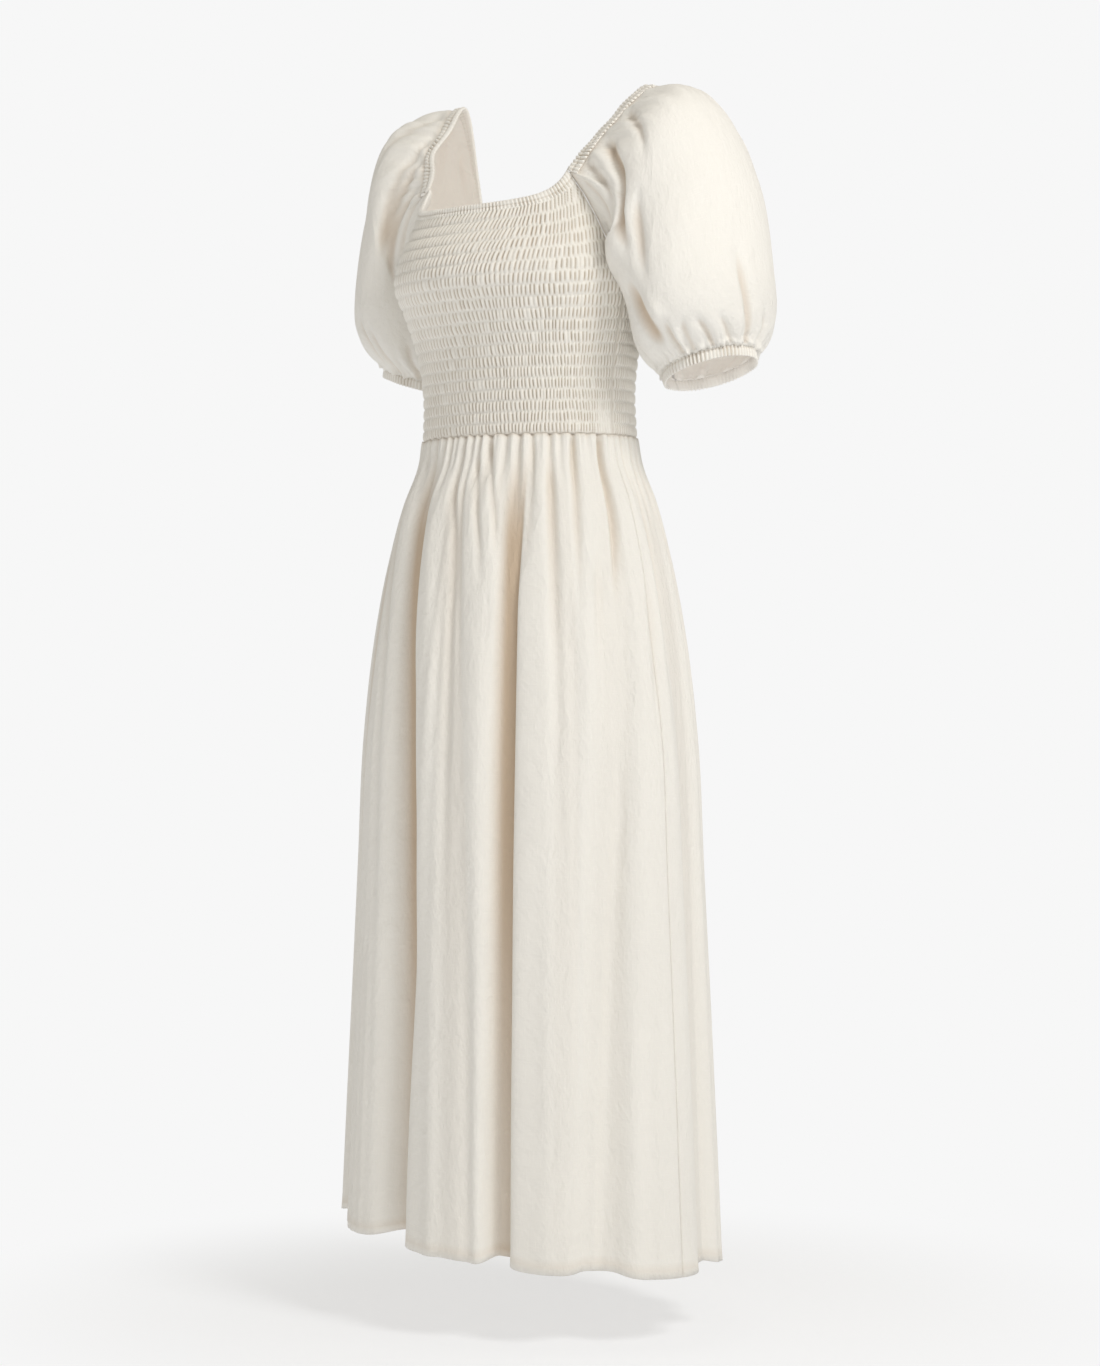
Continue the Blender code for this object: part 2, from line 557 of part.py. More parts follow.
for panel_name, panel_table in BODICE_PANELS.items():
    build_bodice_panel(panel_name, panel_table)
build_neck_band("neck_band_front", BODICE_PANELS["bodice_front"])
build_neck_band("neck_band_back", BODICE_PANELS["bodice_back"])
seam_turn = SIDE_SEAM_ANGLE / 360.0
build_skirt_panel("skirt_front", -seam_turn, seam_turn)
build_skirt_panel("skirt_back", seam_turn, 1.0 - seam_turn)
for one_sleeve in SLEEVES:
    build_sleeve("sleeve_" + one_sleeve["name"], one_sleeve)
    build_neck_casing("neck_casing_" + one_sleeve["name"], one_sleeve)
    build_cuff("cuff_" + one_sleeve["name"], one_sleeve)
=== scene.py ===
# Peasant dress in cream linen, hollow as if worn: smocked bodice, puffed elasticated sleeves and a gathered
# skirt. Sizes are centimetres from the middle of the waist seam, angles are degrees round from the middle of
# the front towards the wearer's left. placeInFrame moves every finished grid into the frame, in metres.
import bpy
import bmesh
import math
import numpy as np
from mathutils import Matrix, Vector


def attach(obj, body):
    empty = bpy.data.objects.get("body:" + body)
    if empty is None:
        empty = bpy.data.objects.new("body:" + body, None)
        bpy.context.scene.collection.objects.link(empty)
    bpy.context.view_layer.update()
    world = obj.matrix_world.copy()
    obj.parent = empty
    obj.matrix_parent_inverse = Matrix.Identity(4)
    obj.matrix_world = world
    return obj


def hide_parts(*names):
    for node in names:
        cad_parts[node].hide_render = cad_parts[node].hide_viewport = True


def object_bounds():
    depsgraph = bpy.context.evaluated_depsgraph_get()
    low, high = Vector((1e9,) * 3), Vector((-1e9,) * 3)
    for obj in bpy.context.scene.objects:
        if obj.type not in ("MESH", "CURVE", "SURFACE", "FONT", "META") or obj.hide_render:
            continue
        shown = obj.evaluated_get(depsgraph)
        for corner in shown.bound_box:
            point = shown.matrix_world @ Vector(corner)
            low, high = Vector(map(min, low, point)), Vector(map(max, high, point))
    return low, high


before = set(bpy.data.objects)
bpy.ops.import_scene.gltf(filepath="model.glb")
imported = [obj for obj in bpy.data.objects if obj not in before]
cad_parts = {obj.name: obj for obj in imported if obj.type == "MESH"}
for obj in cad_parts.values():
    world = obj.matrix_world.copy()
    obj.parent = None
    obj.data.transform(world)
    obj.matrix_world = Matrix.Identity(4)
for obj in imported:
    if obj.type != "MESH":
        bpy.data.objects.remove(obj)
cadBox = [list(corner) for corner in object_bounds()]
print("frame loaded:", len(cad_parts), "solids")

shoulderPlace = np.array([0.0, 4.0, 36.6])    # the frame's origin lies here, between the shoulder tops


# Cubic from start to end with their slopes, at t from 0 to 1 of that width
def cubicPiece(t, width, start, startSlope, end, endSlope):
    near = (2 * t**3 - 3 * t**2 + 1) * start + (t**3 - 2 * t**2 + t) * width * startSlope
    far = (3 * t**2 - 2 * t**3) * end + (t**3 - t**2) * width * endSlope
    return near + far


# Smooth curve through values at knots: cubic pieces whose slopes come from each knot's neighbours
def curveThrough(knots, values, at):
    knots = np.asarray(knots, float)
    values = np.asarray(values, float)
    slopes = np.gradient(values, knots, axis=0)
    at = np.clip(np.asarray(at, float), knots[0], knots[-1])
    cell = np.clip(np.searchsorted(knots, at, side="right") - 1, 0, len(knots) - 2)
    width = knots[cell + 1] - knots[cell]
    t = (at - knots[cell]) / width
    shape = t.shape + (1,) * (values.ndim - 1)
    t = t.reshape(shape)
    width = width.reshape(shape)
    return cubicPiece(t, width, values[cell], slopes[cell], values[cell + 1], slopes[cell + 1])


# 0 below low, 1 above high, and an even S between them
def softStep(low, high, x):
    t = np.clip((x - low) / (high - low), 0.0, 1.0)
    return t * t * (3 - 2 * t)


# Bell of height 1 at 0 that has died away at about twice the width
def bell(x, width):
    return np.exp(-(x / width) ** 2)


# Degrees from one angle to another, between -180 and 180
def angleFrom(centre, angle):
    return (angle - centre + 180) % 360 - 180


# Shares from 0 to 1 down the rows of a grid, and values along its columns
def shareGrid(steps, values):
    return np.meshgrid(np.linspace(0, 1, steps + 1), values, indexing="ij")


# Unit vectors square to a grid of points, turned to the same side as the vectors in outward
def gridNormals(points, outward, roundAbout=False):
    if roundAbout:
        points = np.concatenate([points[:, -1:], points, points[:, :1]], axis=1)
    across = np.gradient(points, axis=1)
    down = np.gradient(points, axis=0)
    normal = np.cross(across, down)
    if roundAbout:
        normal = normal[:, 1:-1]
    normal = normal / np.maximum(np.linalg.norm(normal, axis=-1, keepdims=True), 1e-9)
    side = np.sign(np.sum(normal * outward, axis=(0, 1, 2)))
    return normal * side


# Height of the cloth's underside at every second point: the lowest neighbouring height, less the cloth
def underside(rise, cloth, roundAbout=False):
    wide = np.pad(rise, ((0, 0), (1, 1)), "wrap" if roundAbout else "edge")
    lowest = np.minimum(np.minimum(wide[:, :-2], wide[:, 2:]), rise)
    tall = np.pad(lowest, ((1, 1), (0, 0)), "edge")
    lowest = np.minimum(np.minimum(tall[:-2], tall[2:]), lowest)
    return (lowest - cloth)[::2, ::2, None]


# List of points in the frame, in metres
def placeInFrame(points):
    return (points.reshape(-1, 3) - shoulderPlace) * 0.01


# share of the painted shade that the inner face keeps
innerShadeShare = 0.3


# Closed thin cloth from two grids of points, the inner one with half as many steps each way, and a narrow rim
# along the free edges. Each outer point has its place on the flat cloth, in metres, and a painted shade value
# from 0 to 1 for the material: shade painted into folds, slits, grooves and seams, which fades on the inner
# face. The mark "inside" picks that face out and carries its painted glow.
def clothShell(name, outer, inner, roundAbout, place, paintedShade, material):
    rows, columns = outer.shape[:2]
    outerIds = np.arange(rows * columns).reshape(rows, columns)
    innerIds = rows * columns + np.arange(inner.shape[0] * inner.shape[1]).reshape(inner.shape[:2])
    if roundAbout:
        outerIds = np.hstack([outerIds, outerIds[:, :1]])
        innerIds = np.hstack([innerIds, innerIds[:, :1]])
    edges = [(outerIds[0], innerIds[0]), (outerIds[-1], innerIds[-1])]
    if not roundAbout:
        edges += [(outerIds[:, 0], innerIds[:, 0]), (outerIds[:, -1], innerIds[:, -1])]
    quads = []
    for ids in (outerIds, innerIds):
        corners = [ids[:-1, :-1], ids[:-1, 1:], ids[1:, 1:], ids[1:, :-1]]
        quads.append(np.stack([corner.ravel() for corner in corners], axis=1))
    triangles = []
    for wide, narrow in edges:
        triangles.append(np.stack([wide[:-2:2], wide[1:-1:2], narrow[:-1]], axis=1))
        quads.append(np.stack([wide[1:-1:2], wide[2::2], narrow[1:], narrow[:-1]], axis=1))
    faces = np.vstack(quads).tolist() + np.vstack(triangles).tolist()
    mesh = bpy.data.meshes.new(name)
    mesh.from_pydata(np.vstack([placeInFrame(outer), placeInFrame(inner)]).tolist(), [], faces)
    work = bmesh.new()
    work.from_mesh(mesh)
    bmesh.ops.recalc_face_normals(work, faces=work.faces)
    work.to_mesh(mesh)
    work.free()
    mesh.shade_smooth()
    # painted shade: darkening painted into the cloth where folds, slits and grooves would be in shade
    paintedShade = paintedShade.clip(0, 1)
    innerPaintedShade = innerShadeShare * paintedShade[::2, ::2].ravel()
    marks = {
        "paintedShade": np.concatenate([paintedShade.ravel(), innerPaintedShade]),
        "inside": np.repeat([0.0, 1.0], [paintedShade.size, innerPaintedShade.size]),
    }
    for mark, values in marks.items():
        mesh.attributes.new(mark, "FLOAT", "POINT").data.foreach_set("value", values.astype(np.float32))
    place = np.vstack([place.reshape(-1, 2), place[::2, ::2].reshape(-1, 2)])
    corners = np.empty(len(mesh.loops), dtype=np.int32)
    mesh.loops.foreach_get("vertex_index", corners)
    mesh.uv_layers.new(name="cloth").data.foreach_set("uv", place[corners].astype(np.float32).ravel())
    mesh.materials.append(material)
    piece = bpy.data.objects.new(name, mesh)
    bpy.context.scene.collection.objects.link(piece)
    print(name, len(mesh.polygons), "faces")
    return piece


# Tells the frame what a piece is: it rides on the dress and stands for its solid
def declare(piece, node):
    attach(piece, "root")
    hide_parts(node)


# Soft troughs (depth above 0) and ridges (below 0) laid over a grid. A fold is a path of (angle, share of the
# length), a depth, a half width in degrees, and the shares of the path over which it fades in and out.
def creaseHeights(folds, angle, share):
    height = np.zeros(angle.shape)
    for path, depth, width, fadeIn, fadeOut in folds:
        path = np.array(path)
        away = angleFrom(curveThrough(path[:, 1], path[:, 0], share), angle)
        low, high = path[0, 1], path[-1, 1]
        run = high - low
        start = softStep(low, low + fadeIn * run, share) if fadeIn > 0 else (share >= low) * 1.0
        end = 1 - softStep(high - fadeOut * run, high, share) if fadeOut > 0 else (share <= high) * 1.0
        height = height - depth * bell(away, width) * start * end
    return height


# Materials

linenLook = {
    "light": (0.89, 0.865, 0.81, 1.0),       # cloth on the crests
    "shirred": (0.895, 0.865, 0.80, 1.0),    # shirred cloth
    "paintedFoldShade": (0.62, 0.49, 0.36, 1.0),         # painted shade: warm tan standing in for the shade down in a deep fold
    "slit": (0.46, 0.37, 0.27, 1.0),         # painted shade: dark colour for the slits between the puffs and gathers
    "inside": (0.84, 0.79, 0.77),            # painted glow: emission on the inner face, standing in for light that comes through the cloth
    "slubTint": 0.05,
    "threadPitch": 0.0009,                   # these four are metres
    "weaveHeight": 0.00006,
    "slubHeight": 0.00012,
    "creaseHeight": 0.0011,
}


def addNode(tree, kind, inputs=None, **settings):
    node = tree.nodes.new(kind)
    for key, value in settings.items():
        setattr(node, key, value)
    for key, value in (inputs or {}).items():
        if hasattr(value, "links"):
            tree.links.new(value, node.inputs[key])
        else:
            node.inputs[key].default_value = value
    return node


# Woven linen: two sets of threads, slubs along both of them, a faint cloudy tone and soft handling creases.
# It reads the cloth's own place in metres and the painted shade mark, and gives a colour with the painted shade
# mixed in, a roughness and a height in metres.
def makeLinenGroup():
    group = bpy.data.node_groups.new("linenWeave", "ShaderNodeTree")
    sockets = [
        ("Place", "INPUT", "NodeSocketVector"), ("Painted Shade", "INPUT", "NodeSocketFloat"),
        ("Light Colour", "INPUT", "NodeSocketColor"), ("Painted Shade Colour", "INPUT", "NodeSocketColor"),
        ("Crease Height", "INPUT", "NodeSocketFloat"), ("Colour", "OUTPUT", "NodeSocketColor"),
        ("Roughness", "OUTPUT", "NodeSocketFloat"), ("Height", "OUTPUT", "NodeSocketFloat"),
    ]
    for socketName, way, kind in sockets:
        group.interface.new_socket(name=socketName, in_out=way, socket_type=kind)
    given = group.nodes.new("NodeGroupInput").outputs

    def reckon(operation, first, second=0.0):
        return addNode(group, "ShaderNodeMath", {0: first, 1: second}, operation=operation).outputs[0]

    split = addNode(group, "ShaderNodeSeparateXYZ", {0: given["Place"]}).outputs
    turns = 2 * math.pi / linenLook["threadPitch"]
    weft = reckon("SINE", reckon("MULTIPLY", split[0], turns))
    warp = reckon("SINE", reckon("MULTIPLY", split[1], turns))
    weave = reckon("MULTIPLY", weft, warp)

    def streaks(scale, detail):
        scaled = addNode(group, "ShaderNodeVectorMath", {0: given["Place"], 1: scale}, operation="MULTIPLY")
        place = scaled.outputs[0]
        settings = {"Vector": place, "Scale": 1.0, "Detail": detail, "Roughness": 0.6}
        return addNode(group, "ShaderNodeTexNoise", settings).outputs["Fac"]

    def slubs(scale):
        settings = {"Value": streaks(scale, 2.0), "From Min": 0.56, "From Max": 0.78}
        return addNode(group, "ShaderNodeMapRange", settings).outputs[0]

    slub = reckon("ADD", slubs((45.0, 1300.0, 1.0)), slubs((1300.0, 45.0, 1.0)))
    cloudy = streaks((9.0, 7.0, 1.0), 3.0)
    crumple = streaks((30.0, 17.0, 1.0), 4.0)
    fromRidge = reckon("ABSOLUTE", reckon("SUBTRACT", crumple, 0.5))
    ridge = reckon("SUBTRACT", 1.0, reckon("MULTIPLY", fromRidge, 5.0))
    ridge = reckon("MAXIMUM", ridge, 0.0)
    tint = reckon("MULTIPLY", reckon("SUBTRACT", slub, 0.35), linenLook["slubTint"])
    cloud = reckon("MULTIPLY", reckon("SUBTRACT", cloudy, 0.5), 0.06)
    tint = reckon("ADD", tint, cloud)
    bright = reckon("ADD", 1.0, tint)
    # painted shade: the colour moves from the light colour to the painted shade colour as the mark rises
    mixed = {0: given["Painted Shade"], 6: given["Light Colour"], 7: given["Painted Shade Colour"]}
    shade = addNode(group, "ShaderNodeMix", mixed, data_type="RGBA").outputs[2]
    colour = addNode(group, "ShaderNodeVectorMath", {0: shade, "Scale": bright}, operation="SCALE").outputs[0]
    rough = reckon("ADD", 0.80, reckon("MULTIPLY", slub, 0.06))
    height = reckon("MULTIPLY", weave, linenLook["weaveHeight"])
    height = reckon("ADD", height, reckon("MULTIPLY", slub, linenLook["slubHeight"]))
    height = reckon("ADD", height, reckon("MULTIPLY", ridge, given["Crease Height"]))
    result = group.nodes.new("NodeGroupOutput").inputs
    for socketName, value in (("Colour", colour), ("Roughness", rough), ("Height", height)):
        group.links.new(value, result[socketName])
    return group


linenGroup = makeLinenGroup()


# Cloth material: the linen group over the piece's cloth map, with painted shade where the painted shade mark is
# high, and a painted glow on its inner face standing in for light through the cloth
def makeCloth(name, light, paintedShadeColour, creaseShare, sheen, paintedGlowStrength):
    material = bpy.data.materials.new(name)
    material.use_nodes = True
    tree = material.node_tree
    shader = tree.nodes["Principled BSDF"]
    place = addNode(tree, "ShaderNodeUVMap", uv_map="cloth").outputs[0]
    paintedShade = addNode(tree, "ShaderNodeAttribute", attribute_name="paintedShade").outputs["Fac"]
    linen = tree.nodes.new("ShaderNodeGroup")
    linen.node_tree = linenGroup
    tree.links.new(place, linen.inputs["Place"])
    tree.links.new(paintedShade, linen.inputs["Painted Shade"])
    linen.inputs["Light Colour"].default_value = linenLook[light]
    linen.inputs["Painted Shade Colour"].default_value = linenLook[paintedShadeColour]
    linen.inputs["Crease Height"].default_value = linenLook["creaseHeight"] * creaseShare
    relief = {"Height": linen.outputs["Height"], "Strength": 1.0, "Distance": 1.0}
    bump = addNode(tree, "ShaderNodeBump", relief)
    tree.links.new(linen.outputs["Colour"], shader.inputs["Base Color"])
    tree.links.new(linen.outputs["Roughness"], shader.inputs["Roughness"])
    tree.links.new(bump.outputs[0], shader.inputs["Normal"])
    # painted glow: the inner face emits the inside colour at this strength, though no lamp is there
    inside = addNode(tree, "ShaderNodeAttribute", attribute_name="inside").outputs["Fac"]
    paintedGlow = {0: linenLook["inside"], "Scale": inside}
    paintedGlow = addNode(tree, "ShaderNodeVectorMath", paintedGlow, operation="SCALE")
    tree.links.new(paintedGlow.outputs[0], shader.inputs["Emission Color"])
    shader.inputs["Emission Strength"].default_value = paintedGlowStrength
    shader.inputs["Specular IOR Level"].default_value = 0.25
    shader.inputs["Sheen Weight"].default_value = sheen
    shader.inputs["Sheen Roughness"].default_value = 0.5
    return material


# the last number is the strength of the painted glow on the inner face
skirtLinen = makeCloth("skirtLinen", "light", "paintedFoldShade", 1.0, 0.12, 0.08)
sleeveLinen = makeCloth("sleeveLinen", "light", "paintedFoldShade", 1.0, 0.12, 0.17)
smockedLinen = makeCloth("smockedLinen", "shirred", "slit", 0.3, 0.1, 0.15)
elasticEdge = makeCloth("elasticEdge", "light", "slit", 0.3, 0.1, 0.12)
print("materials made")


# Bodice

# Half width, depth in front and depth behind of the garment's body at each height
bodiceSections = np.array([
    [0.0, 12.6, 9.5, 9.6], [5.0, 12.5, 9.6, 9.3], [9.4, 13.1, 10.4, 9.5], [13.3, 14.1, 12.1, 9.9],
    [16.3, 14.8, 13.6, 10.1], [19.0, 14.5, 13.1, 10.0], [22.0, 13.6, 11.5, 9.8], [27.0, 11.9, 9.3, 9.3],
])
skirtSections = np.array([
    [-87.0, 22.0, 17.3, 16.6], [-58.0, 20.7, 16.3, 15.9], [-45.0, 20.1, 15.9, 15.7],
    [-32.0, 19.5, 15.4, 15.3], [-19.5, 18.0, 14.2, 14.1], [-13.0, 16.7, 13.2, 13.1],
    [-6.6, 14.9, 11.8, 11.7], [-2.5, 13.2, 10.2, 10.3], [0.0, 12.7, 9.6, 9.8],
])


# Ellipse whose half width and depths are read from the sections at that height, at an angle from the front
def onBody(sections, angle, height):
    size = curveThrough(sections[:, 0], sections[:, 1:], height)
    angle = np.radians(angle)
    depth = np.where(np.cos(angle) > 0, size[..., 1], size[..., 2])
    return np.stack([size[..., 0] * np.sin(angle), -depth * np.cos(angle), height + 0 * angle], axis=-1)


# Panels: cut in metres, angle of the middle, height of the neck edge, its rise and rounding at the corners, how
# far round the panel reaches at each share of its height, rows of puffs, how much wider they get on the
# wearer's right, how the slits lean above and below, and how plain the gathers are at the side seam
bodiceFront = {
    "name": "bodiceFront", "node": "bodice_front", "flat": (0.66, 0.27), "area": 0.138,
    "centre": 0.0, "neckHeight": 23.9, "cornerRise": 2.5, "cornerRound": 1.0,
    "reach": [(0, 86), (0.68, 86), (0.72, 81), (0.77, 76.5), (0.85, 72), (0.93, 66), (1, 58)],
    "rows": 20, "stepsInRow": 7, "seed": 11, "wideSide": 0.66, "lean": (-0.8, 0.25), "plainSide": 1.0,
}
bodiceBack = {
    "name": "bodiceBack", "node": "bodice_back", "flat": (0.66, 0.24), "area": 0.12,
    "centre": 180.0, "neckHeight": 22.0, "cornerRise": 1.0, "cornerRound": 0.4,
    "reach": [(0, 94), (0.73, 94), (0.78, 83), (0.84, 74.5), (0.91, 67.5), (1, 60)],
    "rows": 18, "stepsInRow": 6, "seed": 23, "wideSide": 0.0, "lean": (0.3, -0.2), "plainSide": 0.0,
}
smocking = {
    "puffs": 90, "stepsInPuff": 6, "puffRise": 0.21, "slitDepth": 0.19, "slitWidth": 0.165, "cloth": 0.10,
    "bandHeight": 1.0, "underBand": 0.25, "cornerFrom": 0.55, "crownLow": 0.62, "crownWidth": 0.33,
    "bulgePower": 0.42, "threadWidth": 0.07, "seamEdge": 0.022, "tuckRise": 0.05, "mapDegree": 0.0036,
}


# Degrees round from the panel's middle: columns run straight up it and close in at the narrowing edges
def panelAngle(panel, across, up):
    reach = np.interp(up, [row[0] for row in panel["reach"]], [row[1] for row in panel["reach"]])
    widest = panel["reach"][0][1]
    return widest * across - (widest - reach) * across * np.abs(across)


# Point of a panel, up being the share of the way to the neck edge; the corners rise with its cube
def onPanel(panel, across, up):
    cornerFrom = smocking["cornerFrom"]
    corner = np.clip((np.abs(across) - cornerFrom) / (1 - cornerFrom), 0, 1)
    lift = panel["cornerRise"] * np.abs(across) ** 2.2 + panel["cornerRound"] * corner ** 2
    lift = lift * np.clip(up, 0, 1) ** 3
    angle = panel["centre"] + panelAngle(panel, across, up)
    return onBody(bodiceSections, angle, up * panel["neckHeight"] + lift)


# Rows of puffs: each row bulges between two elastic threads and is cut by short leaning slits of uneven depth
def puffHeights(panel, across, row, up):
    random = np.random.default_rng(panel["seed"])
    puffs = smocking["puffs"]
    shape = (panel["rows"] + 2, puffs + 8)
    sideways = random.uniform(-0.13, 0.13, shape)
    depth = random.uniform(0.7, 1.0, shape) * np.where(random.uniform(0, 1, shape) < 0.04, 0.35, 1.0)
    low = random.uniform(0.10, 0.20, shape)
    high = random.uniform(0.80, 0.92, shape)
    fullness = random.uniform(0.85, 1.1, shape)
    rowShift = random.uniform(-0.5, 0.5, shape[0])
    line = np.clip(np.floor(row).astype(int), 0, panel["rows"] - 1)
    g = row - line
    upShare = row / panel["rows"]
    leanHigh, leanLow = panel["lean"]
    lean = leanLow + (leanHigh - leanLow) * softStep(0.35, 0.85, upShare)
    lean = lean * (1 - 0.8 * softStep(0.1, 0.7, -np.sign(leanHigh) * across))
    widest = panel["reach"][0][1]
    wander = 0.35 * np.sin(across * 6.0 + upShare * 9.0) + 0.2 * np.sin(across * 17.0 - upShare * 21.0)
    sides = np.linspace(-1, 1, 201)
    fineness = np.cumsum(np.clip(1 + panel["wideSide"] * (sides - 0.25), 0.6, 1)) / len(sides)
    phase = np.interp(panelAngle(panel, across, up) / widest, sides, fineness) * puffs
    phase = phase + rowShift[line] + wander + lean * (g - 0.5)
    near = np.clip(np.round(phase).astype(int), -2, puffs + 2) + 3
    away = phase - (near - 3) - sideways[line, near]
    span = softStep(low[line, near] - 0.1, low[line, near] + 0.06, g)
    span = span * (1 - softStep(high[line, near] - 0.06, high[line, near] + 0.1, g))
    slit = bell(away, smocking["slitWidth"]) * span * depth[line, near]
    bulge = (4 * g * (1 - g)).clip(0, 1) ** smocking["bulgePower"]
    crownLow = smocking["crownLow"]
    crown = crownLow + (1 - crownLow) * (1 - bell(away, smocking["crownWidth"])) * fullness[line, near]
    thread = bell(np.minimum(g, 1 - g), smocking["threadWidth"])
    return smocking["puffRise"] * bulge * crown - smocking["slitDepth"] * slit, slit, thread


# A shirred panel up to the lower part of its casing, with plain gathers beside the seam at the wearer's left
def buildPanel(panel):
    bandShare = smocking["bandHeight"] / panel["neckHeight"]
    topShare = 1 - bandShare * (1 - smocking["underBand"])
    row, across = np.meshgrid(
        np.linspace(0, panel["rows"], panel["rows"] * panel["stepsInRow"] + 1),
        np.linspace(-1, 1, smocking["puffs"] * smocking["stepsInPuff"] + 1), indexing="ij")
    up = row / panel["rows"] * topShare
    base = onPanel(panel, across, up)
    normal = gridNormals(base, base * [1, 1, 0])
    puff, slit, thread = puffHeights(panel, across, row, up)
    edge = softStep(0.0, smocking["seamEdge"], 1 - np.abs(across)) * softStep(0.0, 0.25, row)
    plain = panel["plainSide"] * softStep(0.80, 0.93, across) * (1 - softStep(0.06, 0.17, up))
    tuck = smocking["tuckRise"] * np.cos(across * 190 + 3 * np.sin(up * 40)) * plain
    rise = (puff * (1 - 0.85 * plain) + tuck) * edge - 0.02 * (1 - edge)
    # painted shade in the slits, a little along the elastic threads and more at the panel's edges
    paintedShade = (0.95 * slit + 0.05 * thread) * edge * (1 - 0.8 * plain) + 0.22 * (1 - edge)
    inner = base[::2, ::2] + normal[::2, ::2] * (0.6 * underside(rise, smocking["cloth"]) - 0.03)
    turned = panelAngle(panel, across, up)
    place = np.stack([turned * smocking["mapDegree"], up * panel["neckHeight"] * 0.01], axis=-1)
    outer = base + normal * rise[..., None]
    piece = clothShell(panel["name"], outer, inner, False, place, paintedShade, smockedLinen)
    declare(piece, panel["node"])


buildPanel(bodiceFront)
buildPanel(bodiceBack)


# Elastic casing along a panel's neck edge: a smooth rolled edge over a stitched, ruched strip
neckBands = {
    "height": 1.0, "steps": 680, "ruchePitch": 0.40, "rucheRise": 0.11, "strip": 0.15, "roll": 0.19,
    "stitchAt": 0.42, "cloth": 0.30, "crossSteps": 16, "mapStretch": 0.014,
}
# share of the painted shade that the casings and cuffs get
casingShadeShare = 0.7


# Section of the casing at a share of its height: low strip, stitch groove, then a half-round roll
def casingRise(share, sizes):
    stitch = sizes["stitchAt"]
    strip = sizes["strip"] * (0.55 + 0.45 * np.sin(np.pi * np.clip(share / stitch, 0, 1)))
    halfTurn = np.pi * np.clip((share - stitch) / (1 - stitch), 0, 1)
    roll = sizes["roll"] * np.sqrt(np.clip(np.sin(halfTurn), 0, 1))
    return np.where(share < stitch, strip, 0.4 * sizes["strip"] + roll)


# Fine uneven ruching: a wave of that pitch along the edge whose height and phase wander
def ruching(length, share, sizes, seed):
    wander = 0.9 * np.sin(length * 0.83 + seed) + 0.5 * np.sin(length * 2.1 + 2 * seed)
    wave = np.cos(2 * np.pi * (length / sizes["ruchePitch"] + 0.35 * share) + wander)
    uneven = 0.75 + 0.35 * np.sin(length * 1.7 + 1.3 * seed)
    return sizes["rucheRise"] * wave * uneven


# Length along the middle row of a strip's grid, for every row
def lengthAlong(base):
    middle = base[len(base) // 2]
    step = np.linalg.norm(np.diff(middle, axis=0), axis=1)
    return np.broadcast_to(np.concatenate([[0], np.cumsum(step)]), base.shape[:2])


# smoothEnd leaves the ruching out towards the wearer's right
def buildNeckBand(name, panel, node, smoothEnd):
    low = 1 - neckBands["height"] / panel["neckHeight"]
    share, across = shareGrid(neckBands["crossSteps"], np.linspace(-1, 1, neckBands["steps"] + 1))
    base = onPanel(panel, across, low + share * (1 - low))
    normal = gridNormals(base, base * [1, 1, 0])
    length = lengthAlong(base)
    gathered = softStep(-0.95, -0.45, across) if smoothEnd else 1.0
    ruche = ruching(length, share, neckBands, panel["seed"]) * (0.25 + 0.75 * gathered)
    outerRise = casingRise(share, neckBands) + ruche * np.where(share < neckBands["stitchAt"], 1.0, 0.6)
    innerRise = outerRise * 0.2 - neckBands["cloth"] * (1 - 0.7 * share**6)
    # painted shade along the stitch groove and in the troughs of the ruching
    paintedShade = 0.45 * bell(share - neckBands["stitchAt"], 0.05)
    paintedShade = paintedShade + 0.8 * np.clip(-ruche / neckBands["rucheRise"], 0, 1)
    place = np.stack([length * neckBands["mapStretch"], share * 0.01], axis=-1)
    outer = base + normal * outerRise[..., None]
    inner = (base + normal * innerRise[..., None])[::2, ::2]
    piece = clothShell(name, outer, inner, False, place, paintedShade.clip(0, 1) * casingShadeShare, elasticEdge)
    declare(piece, node)


buildNeckBand("neckBandFront", bodiceFront, "neck_band_front", True)
buildNeckBand("neckBandBack", bodiceBack, "neck_band_back", False)
print("bodice made")


# Skirt

skirt = {
    "flat": (0.70, 0.88), "hem": -84.6, "hemTilt": 1.9, "hemLift": 0.32, "hemTurn": 0.9, "hemExtra": 0.05,
    "crest": 0.9, "cloth": 0.10, "rowSteps": 104, "columnSteps": 380, "crowding": 0.21, "sideSeam": 86.0,
    "seamDip": 0.05, "gatherRise": 0.05, "broadStreak": 0.06, "narrowStreak": 0.045, "tuckShadeShare": 0.32,
    "mapRound": 1.45, "mapLength": 0.86,
}
# Long folds: angles at the waist, a third down and at the hem, half width, depth, lean of the edge over its
# valley, and how much painted shade its valley gets
longFolds = [
    (-24, -12, -9, 8.5, 3.6, -4.9, 1.0), (-1, 8.5, 13.5, 7, 0.7, 0, 0.1), (31, 30, 29.5, 6.8, 3.3, -5.4, 1.0),
    (50, 49, 46, 6, 0.4, 0, 0.05), (75, 67.5, 59, 9, 2.1, -0.8, 0.04), (101, 103, 104, 8, 1.7, 1.2, 0.1),
    (126, 128, 129, 7.5, 1.1, 0, 0.15), (149, 151, 153, 7, 2.6, 5, 0.85), (178, 177, 177, 9, 1.4, -0.8, 0.2),
    (206, 204, 203, 7, 2.4, -4.5, 0.75), (230, 229, 228, 8, 1.2, 0.6, 0.15), (255, 256, 257, 7, 2, 3.5, 0.6),
    (282, 283, 284, 9, 1.2, 0, 0.15), (310, 311, 313, 7.5, 1.5, 0.9, 0.3),
]


# A long fold opens in three stages: at the gathers, over the hip and towards the hem
def foldGrowth(down):
    return 0.25 * softStep(0, 0.08, down) + 0.4 * softStep(0.05, 0.45, down) + 0.35 * softStep(0.4, 1, down)
